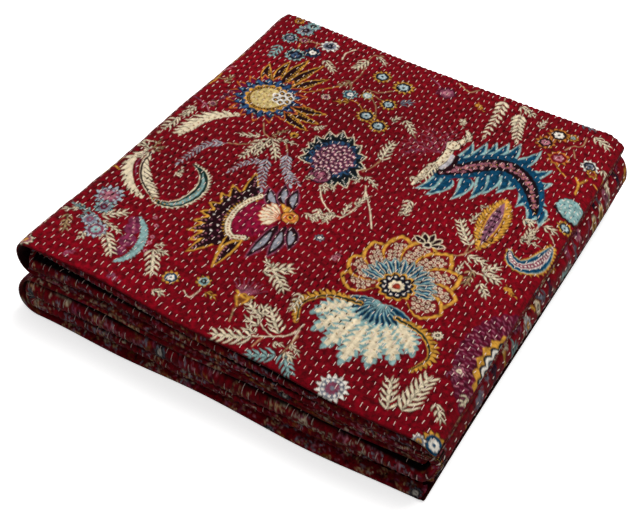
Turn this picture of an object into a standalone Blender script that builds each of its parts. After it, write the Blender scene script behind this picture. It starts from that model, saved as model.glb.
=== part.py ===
"""A kantha quilt, folded for the shelf: one stitched cotton throw, folded in three across its width and
then back and forth in four along its length, so that twelve layers of the one cloth lie on each other.

The cloth starts flat, as a grid of its real length and width, and fold() lays each point of it in place.
X runs along the folded front, Y from front to back, Z up. The stack stands on Z = 0."""

import math

import bmesh
import bpy
import numpy as np

MM = 0.001

# Cloth
THICK = 3.0 * MM  # three layers of cotton, stitched through
ROWS = 64  # rows of running stitch across one pass of the cloth
ROW_RELIEF = 0.45 * MM  # how far the cloth swells between two rows, above and below its mean

# Footprint of the folded stack, at the middle of the cloth's thickness
BACKS = (219.5 * MM, 216 * MM, 211 * MM, 209 * MM, 209 * MM, 211 * MM)  # y of the back edge, per station
BACK_HEIGHTS = (77 * MM, 76.5 * MM, 75.5 * MM, 74 * MM, 72.5 * MM, 71.5 * MM)  # of the top there
SETTLE = 0.5  # share of the depth over which the layers even out, from the front

# Flat size: what the folds take up, laid out. Four passes and three turns make 1580 mm of length, three
# leaves and two noses 1278 mm of width.
RUN = 374 * MM  # one pass of the cloth from left to right
TURN = 28 * MM  # one fold over at a side
LEAF = 418 * MM  # one third of the width, from front to back
NOSE = 12 * MM  # one fold over at the front or back

# Segments of the grid. Along a pass they are counted in half rows of stitching, and lie closer at the
# drooping end of the first.
HALF_ROW = RUN / ROWS / 2
RUN_LINES = (16, 32, 48, 64, 80, 96, 112, 128)
END_LINES = (2, 4, 7)
TURN_STEPS, LEAF_STEPS, NOSE_STEPS = 7, 6, 5

# The places along the front at which the tables below give sizes
STATIONS = (-186 * MM, -120 * MM, -46 * MM, 31 * MM, 110 * MM, 188 * MM)

# The twelve layers, from the top down: which pass, which third of the width, its height in the front
# face at each station, and how far forward it comes there (all mm).
LAYERS = (
    # run leaf  -------------- height --------------   ---------------- front ----------------
    (0, "a", (82.0, 81.4, 78.6, 74.2, 72.6, 70.0), (-202.5, -203.0, -205.5, -207.0, -209.0, -207.5)),
    (0, "b", (72.0, 74.0, 67.8, 61.6, 59.6, 57.2), (-191.0, -197.0, -198.5, -200.5, -203.0, -200.0)),
    (0, "c", (67.0, 68.0, 61.2, 55.6, 54.0, 52.4), (-191.0, -197.0, -198.5, -200.5, -203.0, -200.0)),
    (1, "c", (61.4, 62.2, 56.4, 51.2, 49.6, 48.0), (-198.0, -198.0, -199.0, -201.5, -202.0, -200.0)),
    (1, "b", (53.0, 54.4, 50.4, 46.8, 45.2, 43.6), (-198.0, -198.0, -199.0, -201.5, -202.0, -200.0)),
    (1, "a", (46.8, 47.2, 44.2, 42.4, 40.8, 39.2), (-201.0, -201.5, -202.0, -203.0, -202.0, -200.0)),
    (2, "a", (42.2, 42.4, 39.8, 38.2, 36.6, 34.8), (-203.0, -203.0, -203.5, -203.5, -202.5, -200.0)),
    (2, "b", (37.6, 38.0, 35.4, 34.0, 32.4, 30.4), (-199.5, -200.5, -199.5, -200.5, -202.5, -203.0)),
    (2, "c", (23.6, 24.4, 20.6, 20.0, 21.8, 20.8), (-199.5, -200.5, -199.5, -200.5, -202.5, -203.0)),
    (3, "c", (17.5, 17.6, 14.8, 14.0, 15.5, 14.5), (-199.0, -199.5, -199.5, -200.0, -198.0, -190.0)),
    (3, "b", (8.6, 9.6, 8.4, 8.2, 8.4, 8.0), (-199.0, -199.5, -199.5, -200.0, -198.0, -190.0)),
    (3, "a", (1.5, 1.5, 1.5, 1.5, 1.5, 1.5), (-203.5, -205.0, -205.0, -207.0, -210.0, -206.5)),
)
LEAVES = "abc"

# Where each pass begins and ends in x, at the front and at the back: the side hems lie at both ends of
# the list, and the folds at the sides between them (all mm).
SIDES = (
    # front   back
    (187.0, 188.0),
    (-186.0, -182.0),
    (176.0, 184.5),
    (-187.0, -186.0),
    (184.0, 191.0),
)

# The three folds at the sides, in their order along the cloth: which way each bulges, how far each third
# reaches past its line (a, b, c), how much shorter each third is out at that tip, front and back (a, b,
# c), all in mm, and how much lower than its middle the bulge sits.
TURNS = (
    # side  ---- reach ----   --- corner ---  sag
    (-1, (15.5, 9.0, 2.6), (1.5, 6.0, 7.0), 0.10),
    (+1, (2.0, 7.5, 13.2), (1.5, 5.0, 7.0), 0.05),
    (-1, (18.5, 13.4, 2.8), (1.5, 2.5, 3.0), 0.25),
)
NOSE_ROUND = 0.95  # how far a fold at the front or back stands out, as a share of half its height
WAVE, WAVE_LENGTH = 0.8 * MM, 150 * MM  # the unevenness of each front edge
SWELL, SWELL_LENGTH = 1.1 * MM, 230 * MM  # the soft rise and fall of the top
LIP_DROPS = (0.6 * MM, 0.8 * MM, 1.2 * MM, 1.8 * MM, 2.2 * MM, 2.4 * MM)  # the top layer's front edge hangs
LIP_SPAN = 16 * MM
END_DROPS = ((9.5 * MM, 5.0 * MM), (1.8 * MM, 3.2 * MM), (1.0 * MM, 1.8 * MM))  # and its end; front, back
END_SPAN = 7 * HALF_ROW
END_CORNER = 5.0 * MM  # rounding of that end in plan, towards the back
HEM_LIFT = 0.5 * MM  # how far the bottom layer's edges come off the floor between its corners
HEM_SHARE = 0.1  # and over what share of its length and depth


def smooth(t):
    """0 to 1 with flat ends."""
    t = np.clip(t, 0.0, 1.0)
    return t * t * (3 - 2 * t)


def through(values, x):
    """The soft curve through one value for each station."""
    at = np.array(STATIONS)
    values = np.array(values)
    slopes = np.gradient(values, at)
    place = np.clip(np.searchsorted(at, x) - 1, 0, len(at) - 2)
    width = at[place + 1] - at[place]
    t = np.clip((x - at[place]) / width, 0, 1)
    rise = values[place + 1] - values[place]
    start, end = slopes[place] * width, slopes[place + 1] * width
    return values[place] + start * t + (3 * rise - 2 * start - end) * t**2 + (start + end - 2 * rise) * t**3


def layer(run, leaf):
    """The table's row for this pass and third: (place from the top, heights, fronts)."""
    for place, row in enumerate(LAYERS):
        if row[0] == run and row[1] == LEAVES[leaf]:
            return place, np.array(row[2]) * MM, np.array(row[3]) * MM
    raise KeyError((run, leaf))


def front_edge(run, leaf, x):
    place, _, fronts = layer(run, leaf)
    return through(fronts, x) + WAVE * np.sin(2 * math.pi * x / WAVE_LENGTH + 2.4 * (place + run))


def end_share(x):
    """How far into the first pass's drooping end x lies."""
    return np.clip((x - STATIONS[-1] + END_SPAN) / END_SPAN, 0, 1) ** 2


def height(run, leaf, x, y):
    """How high this layer lies at x, y."""
    place, heights, _ = layer(run, leaf)
    whole = through(BACK_HEIGHTS, x)
    at_back = THICK / 2 + (whole - THICK / 2) * (11 - place) / 11
    front = front_edge(run, leaf, x)
    settled = smooth((y - front) / (through(BACKS, x) - front) / SETTLE)
    z = through(heights, x) * (1 - settled) + at_back * settled
    lift = (z - THICK / 2) / BACK_HEIGHTS[0]
    z = z + lift * SWELL * np.sin(2 * math.pi * x / SWELL_LENGTH) * np.sin(2 * math.pi * y / SWELL_LENGTH + 1)
    if run == 0:
        in_front, behind = END_DROPS[leaf]
        z = z - (in_front + (behind - in_front) * settled) * end_share(x)
        if leaf == 0:
            z = z - through(LIP_DROPS, x) * np.clip(1 - (y - front) / LIP_SPAN, 0, 1) ** 2
    return z


def near_edge(share):
    """1 at either end of a length, falling to 0 over HEM_SHARE of it."""
    return np.clip(1 - np.minimum(share, 1 - share) / HEM_SHARE, 0, 1)


def hem_lift(across, depth):
    """How far the bottom layer is off the floor, at these shares of its length and depth."""
    across, depth = near_edge(across), near_edge(depth)
    return HEM_LIFT * (np.maximum(across, depth) - across * depth)


def along(u):
    """Where a distance along the cloth falls: its pass, how far into it, and into the turn after it."""
    run = np.clip(np.floor(u / (RUN + TURN)), 0, 3).astype(int)
    into = u - run * (RUN + TURN)
    turn = np.where(into > RUN, (into - RUN) / TURN, 0.0)
    return run, np.clip(into / RUN, 0, 1), turn


def leaf_point(leaf, u, share):
    """The point of one third of the width, at a distance u along the cloth and a share of its depth."""
    runs, into, turn = along(u)
    point = np.zeros((len(u), 3))
    for run in range(4):
        here = runs == run
        if not here.any():
            continue
        depth = share[here]
        start, end = (MM * (side[0] + (side[1] - side[0]) * smooth(depth)) for side in SIDES[run : run + 2])
        x = start + (end - start) * into[here]
        angle = math.pi * turn[here]
        tip = np.sin(angle)
        over = (1 - np.cos(angle)) / 2
        front = front_edge(run, leaf, x)
        back = through(BACKS, x)
        if run == 0:
            back = back - END_CORNER * end_share(x)
        if run < 3:
            front = front + (front_edge(run + 1, leaf, x) - front) * over
            side, reaches, corners, sag = TURNS[run]
            front = front + corners[leaf] * MM * tip**2
            back = back - corners[leaf] * MM * tip**2
        y = front + (back - front) * depth
        z = height(run, leaf, x, y)
        if run == 3 and leaf == 0:
            z = z + hem_lift(into[here], depth)
        if run < 3:
            below = height(run + 1, leaf, x, y)
            if run == 2 and leaf == 0:
                below = below + hem_lift(0.0, depth)
            z = (z + below) / 2 + (z - below) / 2 * np.cos(angle)
            x = x + side * reaches[leaf] * MM * tip * (1 - sag * np.cos(angle))
        point[here] = np.stack([x, y, z], axis=1)
    return point


def fold(u, v):
    """The place in the stack of the cloth's points at u along its length and v across its width."""
    leaf = np.clip(np.floor(v / (LEAF + NOSE)), 0, 2).astype(int)
    into = v - leaf * (LEAF + NOSE)
    share = np.clip(into / LEAF, 0, 1)
    bend = math.pi * np.where(into > LEAF, (into - LEAF) / NOSE, 0.0)
    placed = np.zeros((len(u), 3))
    for third in range(3):
        here = leaf == third
        going_back = third % 2 == 0
        at = share[here] if going_back else 1 - share[here]
        point = leaf_point(third, u[here], at)
        if third < 2:
            nose = bend[here]
            beyond = leaf_point(third + 1, u[here], at)
            apart = np.linalg.norm(point - beyond, axis=1) / 2
            point = (point + beyond) / 2 + (point - beyond) / 2 * np.cos(nose)[:, None]
            reach = NOSE_ROUND * apart * np.sin(nose)
            point[:, 1] += (1 if going_back else -1) * reach
        placed[here] = point
    return placed


def column_lines():
    """The grid's lines across the cloth's length, each pass followed by its turn."""
    lines = [0.0] + [HALF_ROW * n for n in END_LINES]
    for run in range(4):
        start = run * (RUN + TURN)
        lines += [start + HALF_ROW * n for n in RUN_LINES]
        if run < 3:
            lines += [start + RUN + TURN * n / TURN_STEPS for n in range(1, TURN_STEPS + 1)]
    return sorted(lines)


def row_lines():
    """The grid's lines along the cloth's length, each third of its width followed by its nose."""
    lines = [0.0]
    for leaf in range(3):
        start = leaf * (LEAF + NOSE)
        lines += [start + LEAF * n / LEAF_STEPS for n in range(1, LEAF_STEPS + 1)]
        if leaf < 2:
            lines += [start + LEAF + NOSE * n / NOSE_STEPS for n in range(1, NOSE_STEPS + 1)]
    return lines


def flat_cloth():
    """The quilt laid out flat, as a grid whose lines gather at the folds."""
    columns = column_lines()
    rows = row_lines()
    bpy.ops.mesh.primitive_grid_add(x_subdivisions=len(columns) - 1, y_subdivisions=len(rows) - 1, size=2)
    quilt = bpy.context.active_object
    for vertex in quilt.data.vertices:
        column = round((vertex.co.x + 1) / 2 * (len(columns) - 1))
        row = round((vertex.co.y + 1) / 2 * (len(rows) - 1))
        vertex.co = (columns[column], rows[row], 0)
    return quilt


def rule_top_layer(mesh):
    """Cuts the top layer of the stack along every half row of its stitching."""
    cloth = bmesh.new()
    cloth.from_mesh(mesh)
    spans = {}
    for edge in cloth.edges:
        first, second = (vertex.co for vertex in edge.verts)
        across = abs(first.x - second.x)
        in_top = max(first.x, second.x) < RUN * 1.001 and max(first.y, second.y) < LEAF * 1.001
        if in_top and across > HALF_ROW * 1.5:
            spans.setdefault(round(across / HALF_ROW), []).append(edge)
    for count, edges in spans.items():
        bmesh.ops.subdivide_edges(cloth, edges=edges, cuts=count - 1)
    cloth.to_mesh(mesh)
    cloth.free()


def fold_up(mesh):
    """Folds the flat grid, with the cloth of the top layer swelling between its rows of stitching."""
    flat = np.array([vertex.co for vertex in mesh.vertices])
    u, v = flat[:, 0], flat[:, 1]
    placed = fold(u, v)
    inside = (u > HALF_ROW / 2) & (u < RUN - HALF_ROW / 2) & (v > HALF_ROW) & (v < LEAF - HALF_ROW)
    placed[:, 2] += np.where(inside, -ROW_RELIEF * np.cos(math.pi * u / HALF_ROW), 0)
    middle = (placed.min(axis=0) + placed.max(axis=0)) / 2
    placed[:, :2] -= middle[:2]
    mesh.vertices.foreach_set("co", placed.astype(np.float32).ravel())
    mesh.update()


def cotton():
    """Deep red printed cotton."""
    material = bpy.data.materials.new("printed_cotton")
    material.use_nodes = True
    shader = material.node_tree.nodes["Principled BSDF"]
    shader.inputs["Base Color"].default_value = (0.27, 0.008, 0.014, 1)
    shader.inputs["Roughness"].default_value = 0.9
    shader.inputs["Metallic"].default_value = 0.0
    return material


def main():
    for old in list(bpy.data.objects):
        bpy.data.objects.remove(old)
    collection = bpy.data.collections.new("kantha_quilt")
    bpy.context.scene.collection.children.link(collection)
    quilt = flat_cloth()
    quilt.name = "kantha_quilt"
    quilt.data.name = "kantha_quilt"
    for holder in list(quilt.users_collection):
        holder.objects.unlink(quilt)
    collection.objects.link(quilt)
    rule_top_layer(quilt.data)
    fold_up(quilt.data)
    quilt.data.materials.append(cotton())
    quilt.data.shade_smooth()
    cloth = quilt.modifiers.new("cloth", "SOLIDIFY")
    cloth.thickness = THICK
    cloth.offset = 0.0
    cloth.use_even_offset = False


main()
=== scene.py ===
"""A folded kantha quilt: the cloth of the CAD in fine grids, with its print and running stitches."""

import math

import bpy
import numpy as np
from mathutils import Matrix


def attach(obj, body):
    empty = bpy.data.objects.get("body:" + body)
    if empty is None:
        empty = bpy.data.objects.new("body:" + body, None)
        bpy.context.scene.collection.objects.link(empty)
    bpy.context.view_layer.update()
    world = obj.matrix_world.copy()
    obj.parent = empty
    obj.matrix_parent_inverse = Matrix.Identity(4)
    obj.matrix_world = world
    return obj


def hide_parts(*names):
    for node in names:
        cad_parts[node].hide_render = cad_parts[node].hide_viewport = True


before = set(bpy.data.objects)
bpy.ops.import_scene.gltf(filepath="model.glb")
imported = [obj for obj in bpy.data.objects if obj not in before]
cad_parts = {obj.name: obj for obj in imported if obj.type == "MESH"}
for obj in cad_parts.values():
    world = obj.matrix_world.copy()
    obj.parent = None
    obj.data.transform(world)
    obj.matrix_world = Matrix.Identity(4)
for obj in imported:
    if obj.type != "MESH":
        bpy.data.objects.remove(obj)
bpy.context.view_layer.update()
MM = 0.001
rng = np.random.default_rng(11)

# ---------------------------------------------------------------- the fold, in millimetres
# The cloth lies in four runs with a turn between them. Each is folded in three leaves with a nose between.
THICK = 3.0
RUN, TURN, LEAF, NOSE = 374.0, 28.0, 418.0, 12.0
ROWS, TURN_ROWS = 64, 5  # rows of stitching along a run and along a turn
PASS = RUN + TURN
LENGTH = 4 * RUN + 3 * TURN
WIDTH = 3 * LEAF + 2 * NOSE
ROW = RUN / ROWS
STATIONS = (-186, -120, -46, 31, 110, 188)  # where the values in these tables hold, from left to right
BACKS = (219.5, 216, 211, 209, 209, 211)
BACK_HEIGHTS = (77, 76.5, 75.5, 74, 72.5, 71.5)
SETTLE = 0.5  # the share of its depth in which a layer comes to its height at the back
LAYERS = (
    # run leaf  -------------- height --------------   ---------------- front ----------------
    (0, "a", (82.0, 81.4, 78.6, 74.2, 72.6, 70.0), (-202.5, -203.0, -205.5, -207.0, -209.0, -207.5)),
    (0, "b", (72.0, 74.0, 67.8, 61.6, 59.6, 57.2), (-191.0, -197.0, -198.5, -200.5, -203.0, -200.0)),
    (0, "c", (67.0, 68.0, 61.2, 55.6, 54.0, 52.4), (-191.0, -197.0, -198.5, -200.5, -203.0, -200.0)),
    (1, "c", (61.4, 62.2, 56.4, 51.2, 49.6, 48.0), (-198.0, -198.0, -199.0, -201.5, -202.0, -200.0)),
    (1, "b", (53.0, 54.4, 50.4, 46.8, 45.2, 43.6), (-198.0, -198.0, -199.0, -201.5, -202.0, -200.0)),
    (1, "a", (46.8, 47.2, 44.2, 42.4, 40.8, 39.2), (-201.0, -201.5, -202.0, -203.0, -202.0, -200.0)),
    (2, "a", (42.2, 42.4, 39.8, 38.2, 36.6, 34.8), (-203.0, -203.0, -203.5, -203.5, -202.5, -200.0)),
    (2, "b", (37.6, 38.0, 35.4, 34.0, 32.4, 30.4), (-199.5, -200.5, -199.5, -200.5, -202.5, -203.0)),
    (2, "c", (23.6, 24.4, 20.6, 20.0, 21.8, 20.8), (-199.5, -200.5, -199.5, -200.5, -202.5, -203.0)),
    (3, "c", (17.5, 17.6, 14.8, 14.0, 15.5, 14.5), (-199.0, -199.5, -199.5, -200.0, -198.0, -190.0)),
    (3, "b", (8.6, 9.6, 8.4, 8.2, 8.4, 8.0), (-199.0, -199.5, -199.5, -200.0, -198.0, -190.0)),
    (3, "a", (1.5, 1.5, 1.5, 1.5, 1.5, 1.5), (-203.5, -205.0, -205.0, -207.0, -210.0, -206.5)),
)
SIDES = ((187.0, 188.0), (-186.0, -182.0), (176.0, 184.5), (-187.0, -186.0), (184.0, 191.0))  # front, back
TURNS = (
    # side  ---- reach ----   --- corner ---  sag
    (-1, (15.5, 9.0, 2.6), (1.5, 6.0, 7.0), 0.10),
    (+1, (2.0, 7.5, 13.2), (1.5, 5.0, 7.0), 0.05),
    (-1, (18.5, 13.4, 2.8), (1.5, 2.5, 3.0), 0.25),
)
NOSE_ROUND = 0.95
WAVE, WAVE_LENGTH = 0.8, 150  # of the front edges
SWELL, SWELL_LENGTH = 1.1, 230  # of the layers' heights
LIP_DROPS, LIP_SPAN = (0.6, 0.8, 1.2, 1.8, 2.2, 2.4), 16  # how the top layer's front edge droops
END_DROPS = ((9.5, 5.0), (1.8, 3.2), (1.0, 1.8))  # of each leaf's right end, in front and behind
END_SPAN, END_CORNER = 3.5 * ROW, 5.0
MIDDLE = np.array((-4.26, 6.34, 0.0))  # of the stack, which stands at the frame's origin


def smooth(t):
    """0 to 1, slow at both ends."""
    t = np.clip(t, 0.0, 1.0)
    return t * t * (3 - 2 * t)


def through(values, x):
    """A soft curve through one value at each station."""
    at = np.array(STATIONS, float)
    values = np.array(values, float)
    slopes = np.gradient(values, at)
    place = np.clip(np.searchsorted(at, x) - 1, 0, len(at) - 2)
    width = at[place + 1] - at[place]
    t = np.clip((x - at[place]) / width, 0, 1)
    rise = values[place + 1] - values[place]
    start, end = slopes[place] * width, slopes[place + 1] * width
    return values[place] + start * t + (3 * rise - 2 * start - end) * t**2 + (start + end - 2 * rise) * t**3


def layer(run, leaf):
    """(place from the top, heights, front edges) of one layer"""
    for place, row in enumerate(LAYERS):
        if row[0] == run and row[1] == "abc"[leaf]:
            return place, row[2], row[3]
    raise KeyError((run, leaf))


def front_edge(run, leaf, x):
    """Where a layer's front edge lies, with its slow waves."""
    place, _, fronts = layer(run, leaf)
    return through(fronts, x) + WAVE * np.sin(2 * math.pi * x / WAVE_LENGTH + 2.4 * (place + run))


def end_share(x):
    """0 over most of the top run, rising to 1 at its right end."""
    return np.clip((x - STATIONS[-1] + END_SPAN) / END_SPAN, 0, 1) ** 2


def height(run, leaf, x, y, drops=True):
    """The height of a layer's middle surface. drops says whether the top run's edges droop."""
    place, heights, _ = layer(run, leaf)
    whole = through(BACK_HEIGHTS, x)
    at_back = THICK / 2 + (whole - THICK / 2) * (11 - place) / 11
    front = front_edge(run, leaf, x)
    settled = smooth((y - front) / (through(BACKS, x) - front) / SETTLE)
    z = through(heights, x) * (1 - settled) + at_back * settled
    lift = (z - THICK / 2) / BACK_HEIGHTS[0]
    z = z + lift * SWELL * np.sin(2 * math.pi * x / SWELL_LENGTH) * np.sin(2 * math.pi * y / SWELL_LENGTH + 1)
    if run == 0 and drops:
        in_front, behind = END_DROPS[leaf]
        z = z - (in_front + (behind - in_front) * settled) * end_share(x)
        if leaf == 0:
            z = z - through(LIP_DROPS, x) * np.clip(1 - (y - front) / LIP_SPAN, 0, 1) ** 2
    return z


def leaf_point(leaf, u, share):
    """Where one leaf's cloth lies, u along it and share of the way from its front edge to its back."""
    runs = np.clip(np.floor(u / PASS), 0, 3).astype(int)
    into = u - runs * PASS
    turn = np.where(into > RUN, (into - RUN) / TURN, 0.0)
    into = np.clip(into / RUN, 0, 1)
    point = np.zeros((len(u), 3))
    for run in range(4):
        here = runs == run
        if not here.any():
            continue
        depth = share[here]
        start, end = (side[0] + (side[1] - side[0]) * smooth(depth) for side in SIDES[run : run + 2])
        x = start + (end - start) * into[here]
        angle = math.pi * turn[here]
        tip = np.sin(angle)
        over = (1 - np.cos(angle)) / 2
        front = front_edge(run, leaf, x)
        back = through(BACKS, x)
        if run == 0:
            back = back - END_CORNER * end_share(x)
        if run < 3:
            front = front + (front_edge(run + 1, leaf, x) - front) * over
            side, reaches, corners, sag = TURNS[run]
            front = front + corners[leaf] * tip**2
            back = back - corners[leaf] * tip**2
        y = front + (back - front) * depth
        z = height(run, leaf, x, y)
        if run < 3:
            below = height(run + 1, leaf, x, y)
            z = (z + below) / 2 + (z - below) / 2 * np.cos(angle)
            x = x + side * reaches[leaf] * tip * (1 - sag * np.cos(angle))
        point[here] = np.stack([x, y, z], axis=1)
    return point


def fold(u, v):
    """Where the middle of the cloth lies, from its flat measure."""
    leaf = np.clip(np.floor(v / (LEAF + NOSE)), 0, 2).astype(int)
    into = v - leaf * (LEAF + NOSE)
    share = np.clip(into / LEAF, 0, 1)
    bend = math.pi * np.where(into > LEAF, (into - LEAF) / NOSE, 0.0)
    placed = np.zeros((len(u), 3))
    for third in range(3):
        here = leaf == third
        if not here.any():
            continue
        going_back = third % 2 == 0
        at = share[here] if going_back else 1 - share[here]
        point = leaf_point(third, u[here], at)
        turning = bend[here] > 0
        if third < 2 and turning.any():
            nose = bend[here][turning]
            near = point[turning]
            beyond = leaf_point(third + 1, u[here][turning], at[turning])
            apart = np.linalg.norm(near - beyond, axis=1) / 2
            near = (near + beyond) / 2 + (near - beyond) / 2 * np.cos(nose)[:, None]
            near[:, 1] += (1 if going_back else -1) * NOSE_ROUND * apart * np.sin(nose)
            point[turning] = near
        placed[here] = point
    return placed


# ---------------------------------------------------------------- the cloth's two faces
A, B = 1, -1
HALF = THICK / 2
CORE = 1.0  # half the thickness of the plain cloth under the stitched faces
PITCH, DASH = 10.4, 6.2  # one stitch to the next, and how much of that it holds down
SHOWN = DASH - 0.4  # the mean length of thread that shows
ROLLED = math.radians(112.5)  # how far a face rolls round a hem
THREAD = 0.4  # the thread's radius
START_SHAKE, LENGTH_SHAKE, ROW_SHAKE, LEAN_SHAKE = 0.9, 1.1, 0.14, 0.28  # how uneven the hand is
ROW_BEND, ROW_BEND_LENGTH = 0.35, 31  # how a whole row wanders
SHORTEST, HEM_GAP = 2, 0.6  # the least that shows of a stitch, and how near it comes to a hem
MOST_ROWS = 512
PHASES = rng.random(MOST_ROWS) * PITCH
WANDER = rng.random(MOST_ROWS) * 6.3
PUFF, PUCKER, CRUMPLE, WAVER = 0.36, 0.22, 0.34, 0.15  # how far the cloth swells, for each cause
SEAM = 1.5  # how far a row's stitches pull the cloth beside them
SUNK, BLEND = 0.8, 3.5  # how deep the border of a face goes into the plain cloth, and over what width
HEM_PRINT = 60  # the width of print painted for a hem
CHART_LEVEL = 76.5  # the chart of the top layer's print is drawn at this height,
CHART_SLANT = (-0.485, 0.944)  # and the print moves so far for each millimetre above it


def rows_at(u):
    """(number of the nearest row of stitching, how far it is away across the rows)"""
    run = np.clip(np.floor(u / PASS), 0, 3)
    into = u - run * PASS
    on_turn = into > RUN
    spacing = np.where(on_turn, TURN / TURN_ROWS, ROW)
    at = np.where(on_turn, (into - RUN) / spacing, into / spacing)
    row = np.round(at)
    number = run * (ROWS + TURN_ROWS) + np.where(on_turn, ROWS, 0) + row
    return np.clip(number, 0, MOST_ROWS - 1).astype(int), (at - row) * spacing


def row_place(number):
    """Where a row of that number lies along the cloth."""
    run, k = divmod(number, ROWS + TURN_ROWS)
    return run * PASS + (k * ROW if k <= ROWS else RUN + (k - ROWS) * TURN / TURN_ROWS)


def noise(x, y, seed, octaves=3):
    """Soft noise from a few crossed waves, about -1 to 1."""
    waves = np.random.default_rng(seed)
    total = np.zeros(np.shape(x))
    for octave in range(octaves):
        for _ in range(4):
            a = waves.random() * 2 * math.pi
            k = (1.9**octave) * (0.7 + 0.6 * waves.random())
            wave = np.sin((x * math.cos(a) + y * math.sin(a)) * k + waves.random() * 6.3)
            total = total + wave / 1.6**octave
    return total / 5.0


def relief(u, v):
    """How far the quilted cloth swells or sinks from its mean face."""
    number, off = rows_at(u)
    stitch = np.cos(2 * math.pi * (v - PHASES[number]) / PITCH - math.pi * DASH / PITCH)
    near = np.exp(-((off / SEAM) ** 2))
    puff = PUFF * np.cos(math.pi * (1 - np.abs(off) / (ROW / 2)))
    pucker = PUCKER * near * stitch + CRUMPLE * noise(u / 2.2, v / 3.0, 3, 2) * (1 - 0.7 * near)
    return np.clip(puff + pucker + WAVER * noise(u / 9, v / 12, 4), -0.5, 0.75)


def face(u, v, side):
    """Points on one face of the folded cloth. Past a hem they roll round it."""
    cu, cv = np.clip(u, 0, LENGTH), np.clip(v, 0, WIDTH)
    step = 0.05
    along_u = fold(np.minimum(cu + step, LENGTH), cv) - fold(np.maximum(cu - step, 0), cv)
    along_v = fold(cu, np.minimum(cv + step, WIDTH)) - fold(cu, np.maximum(cv - step, 0))
    along_u /= np.linalg.norm(along_u, axis=1)[:, None]
    along_v /= np.linalg.norm(along_v, axis=1)[:, None]
    normal = -side * np.cross(along_u, along_v)
    normal /= np.linalg.norm(normal, axis=1)[:, None]
    past = along_u * (u - cu)[:, None] + along_v * (v - cv)[:, None]
    far = np.linalg.norm(past, axis=1)
    angle = np.minimum(far / HALF, ROLLED)
    outward = past / np.maximum(far, 1e-9)[:, None]
    return fold(cu, cv), normal, outward, angle


def placed(u, v, side, lift):
    """Points lifted from one face of the folded cloth."""
    point, normal, outward, angle = face(u, v, side)
    away = HALF + (lift[:, None] if np.ndim(lift) else lift)
    return point + away * (normal * np.cos(angle)[:, None] + outward * np.sin(angle)[:, None])


def on_flat(u, v):
    """Places on the flat cloth, in metres."""
    return np.stack([u, v], axis=1) * MM


def bake_place(a, a_span, b, b_span):
    """Places in the unit square, a little inside its border."""
    share = [(at - low) / (high - low) for at, (low, high) in ((a, a_span), (b, b_span))]
    return 0.004 + 0.992 * np.stack(share, axis=1)


def crossed(us, vs):
    """Every pairing of the two lists, as two long lists."""
    return (grid.ravel() for grid in np.meshgrid(us, vs, indexing="ij"))


def mesh_object(name, points, quads, flat, bake, material, colours=None):
    """A piece made of four-sided faces, with its bake and cloth places and the colours of its points."""
    mesh = bpy.data.meshes.new(name)
    count = len(quads)
    mesh.vertices.add(len(points))
    mesh.vertices.foreach_set("co", ((points - MIDDLE) * MM).astype(np.float32).ravel())
    mesh.loops.add(count * 4)
    mesh.loops.foreach_set("vertex_index", quads.astype(np.int32).ravel())
    mesh.polygons.add(count)
    mesh.polygons.foreach_set("loop_start", np.arange(0, count * 4, 4, dtype=np.int32))
    mesh.polygons.foreach_set("use_smooth", np.ones(count, bool))
    mesh.update(calc_edges=True)
    for uv_name, places in (("OFBake", bake), ("Cloth", flat)):
        uv_layer = mesh.uv_layers.new(name=uv_name)
        uv_layer.data.foreach_set("uv", places[quads.ravel()].astype(np.float32).ravel())
    if colours is not None:
        rgba = np.ones((len(points), 4), np.float32)
        rgba[:, :3] = colours
        attribute = mesh.color_attributes.new(name="Print", type="FLOAT_COLOR", domain="POINT")
        attribute.data.foreach_set("color", rgba.ravel())
    mesh.validate()
    mesh.materials.append(material)
    made = bpy.data.objects.new(name, mesh)
    bpy.context.scene.collection.objects.link(made)
    return made


def grid_quads(nu, nv, side):
    """The faces of a grid of points, turned to look out on that side of the cloth."""
    i, j = np.meshgrid(np.arange(nu - 1), np.arange(nv - 1), indexing="ij")
    first = (i * nv + j).ravel()
    quads = np.stack([first, first + 1, first + nv + 1, first + nv], axis=1)
    return quads if side == A else quads[:, ::-1]


def skin(name, side, u_span, v_span, step, colour_of, sinks):
    """One stitched face of the cloth as a fine grid. Borders marked in sinks go into the plain cloth."""
    nu = int(round((u_span[1] - u_span[0]) / step[0])) + 1
    nv = int(round((v_span[1] - v_span[0]) / step[1])) + 1
    u, v = crossed(np.linspace(*u_span, nu), np.linspace(*v_span, nv))
    on_cloth = np.clip(np.minimum.reduce([u / 3, (LENGTH - u) / 3, v / 3, (WIDTH - v) / 3]), 0, 1)
    lift = relief(np.clip(u, 0, LENGTH), np.clip(v, 0, WIDTH)) * smooth(on_cloth)
    borders = (u - u_span[0], u_span[1] - u, v - v_span[0], v_span[1] - v)
    for sunk, border in zip(sinks, borders):
        if sunk:
            lift = lift - (lift + SUNK) * (1 - smooth(border / BLEND))
    hollow_shade = 0.8 + 0.2 * smooth((lift + 0.4) / 0.75)  # painted shade: the hollows of the relief are painted darker than the swells
    colours = colour_of(u, v) * hollow_shade[:, None]
    quads, bake = grid_quads(nu, nv, side), bake_place(u, u_span, v, v_span)
    return mesh_object(name, placed(u, v, side, lift), quads, on_flat(u, v), bake, cotton, colours)


# ---------------------------------------------------------------- the print: a painter in millimetres
def linear(*rgb):
    """A colour given as screen values of 0 to 255, in linear light."""
    c = np.array(rgb, float) / 255
    return np.where(c <= 0.04045, c / 12.92, ((c + 0.055) / 1.055) ** 2.4)


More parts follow.
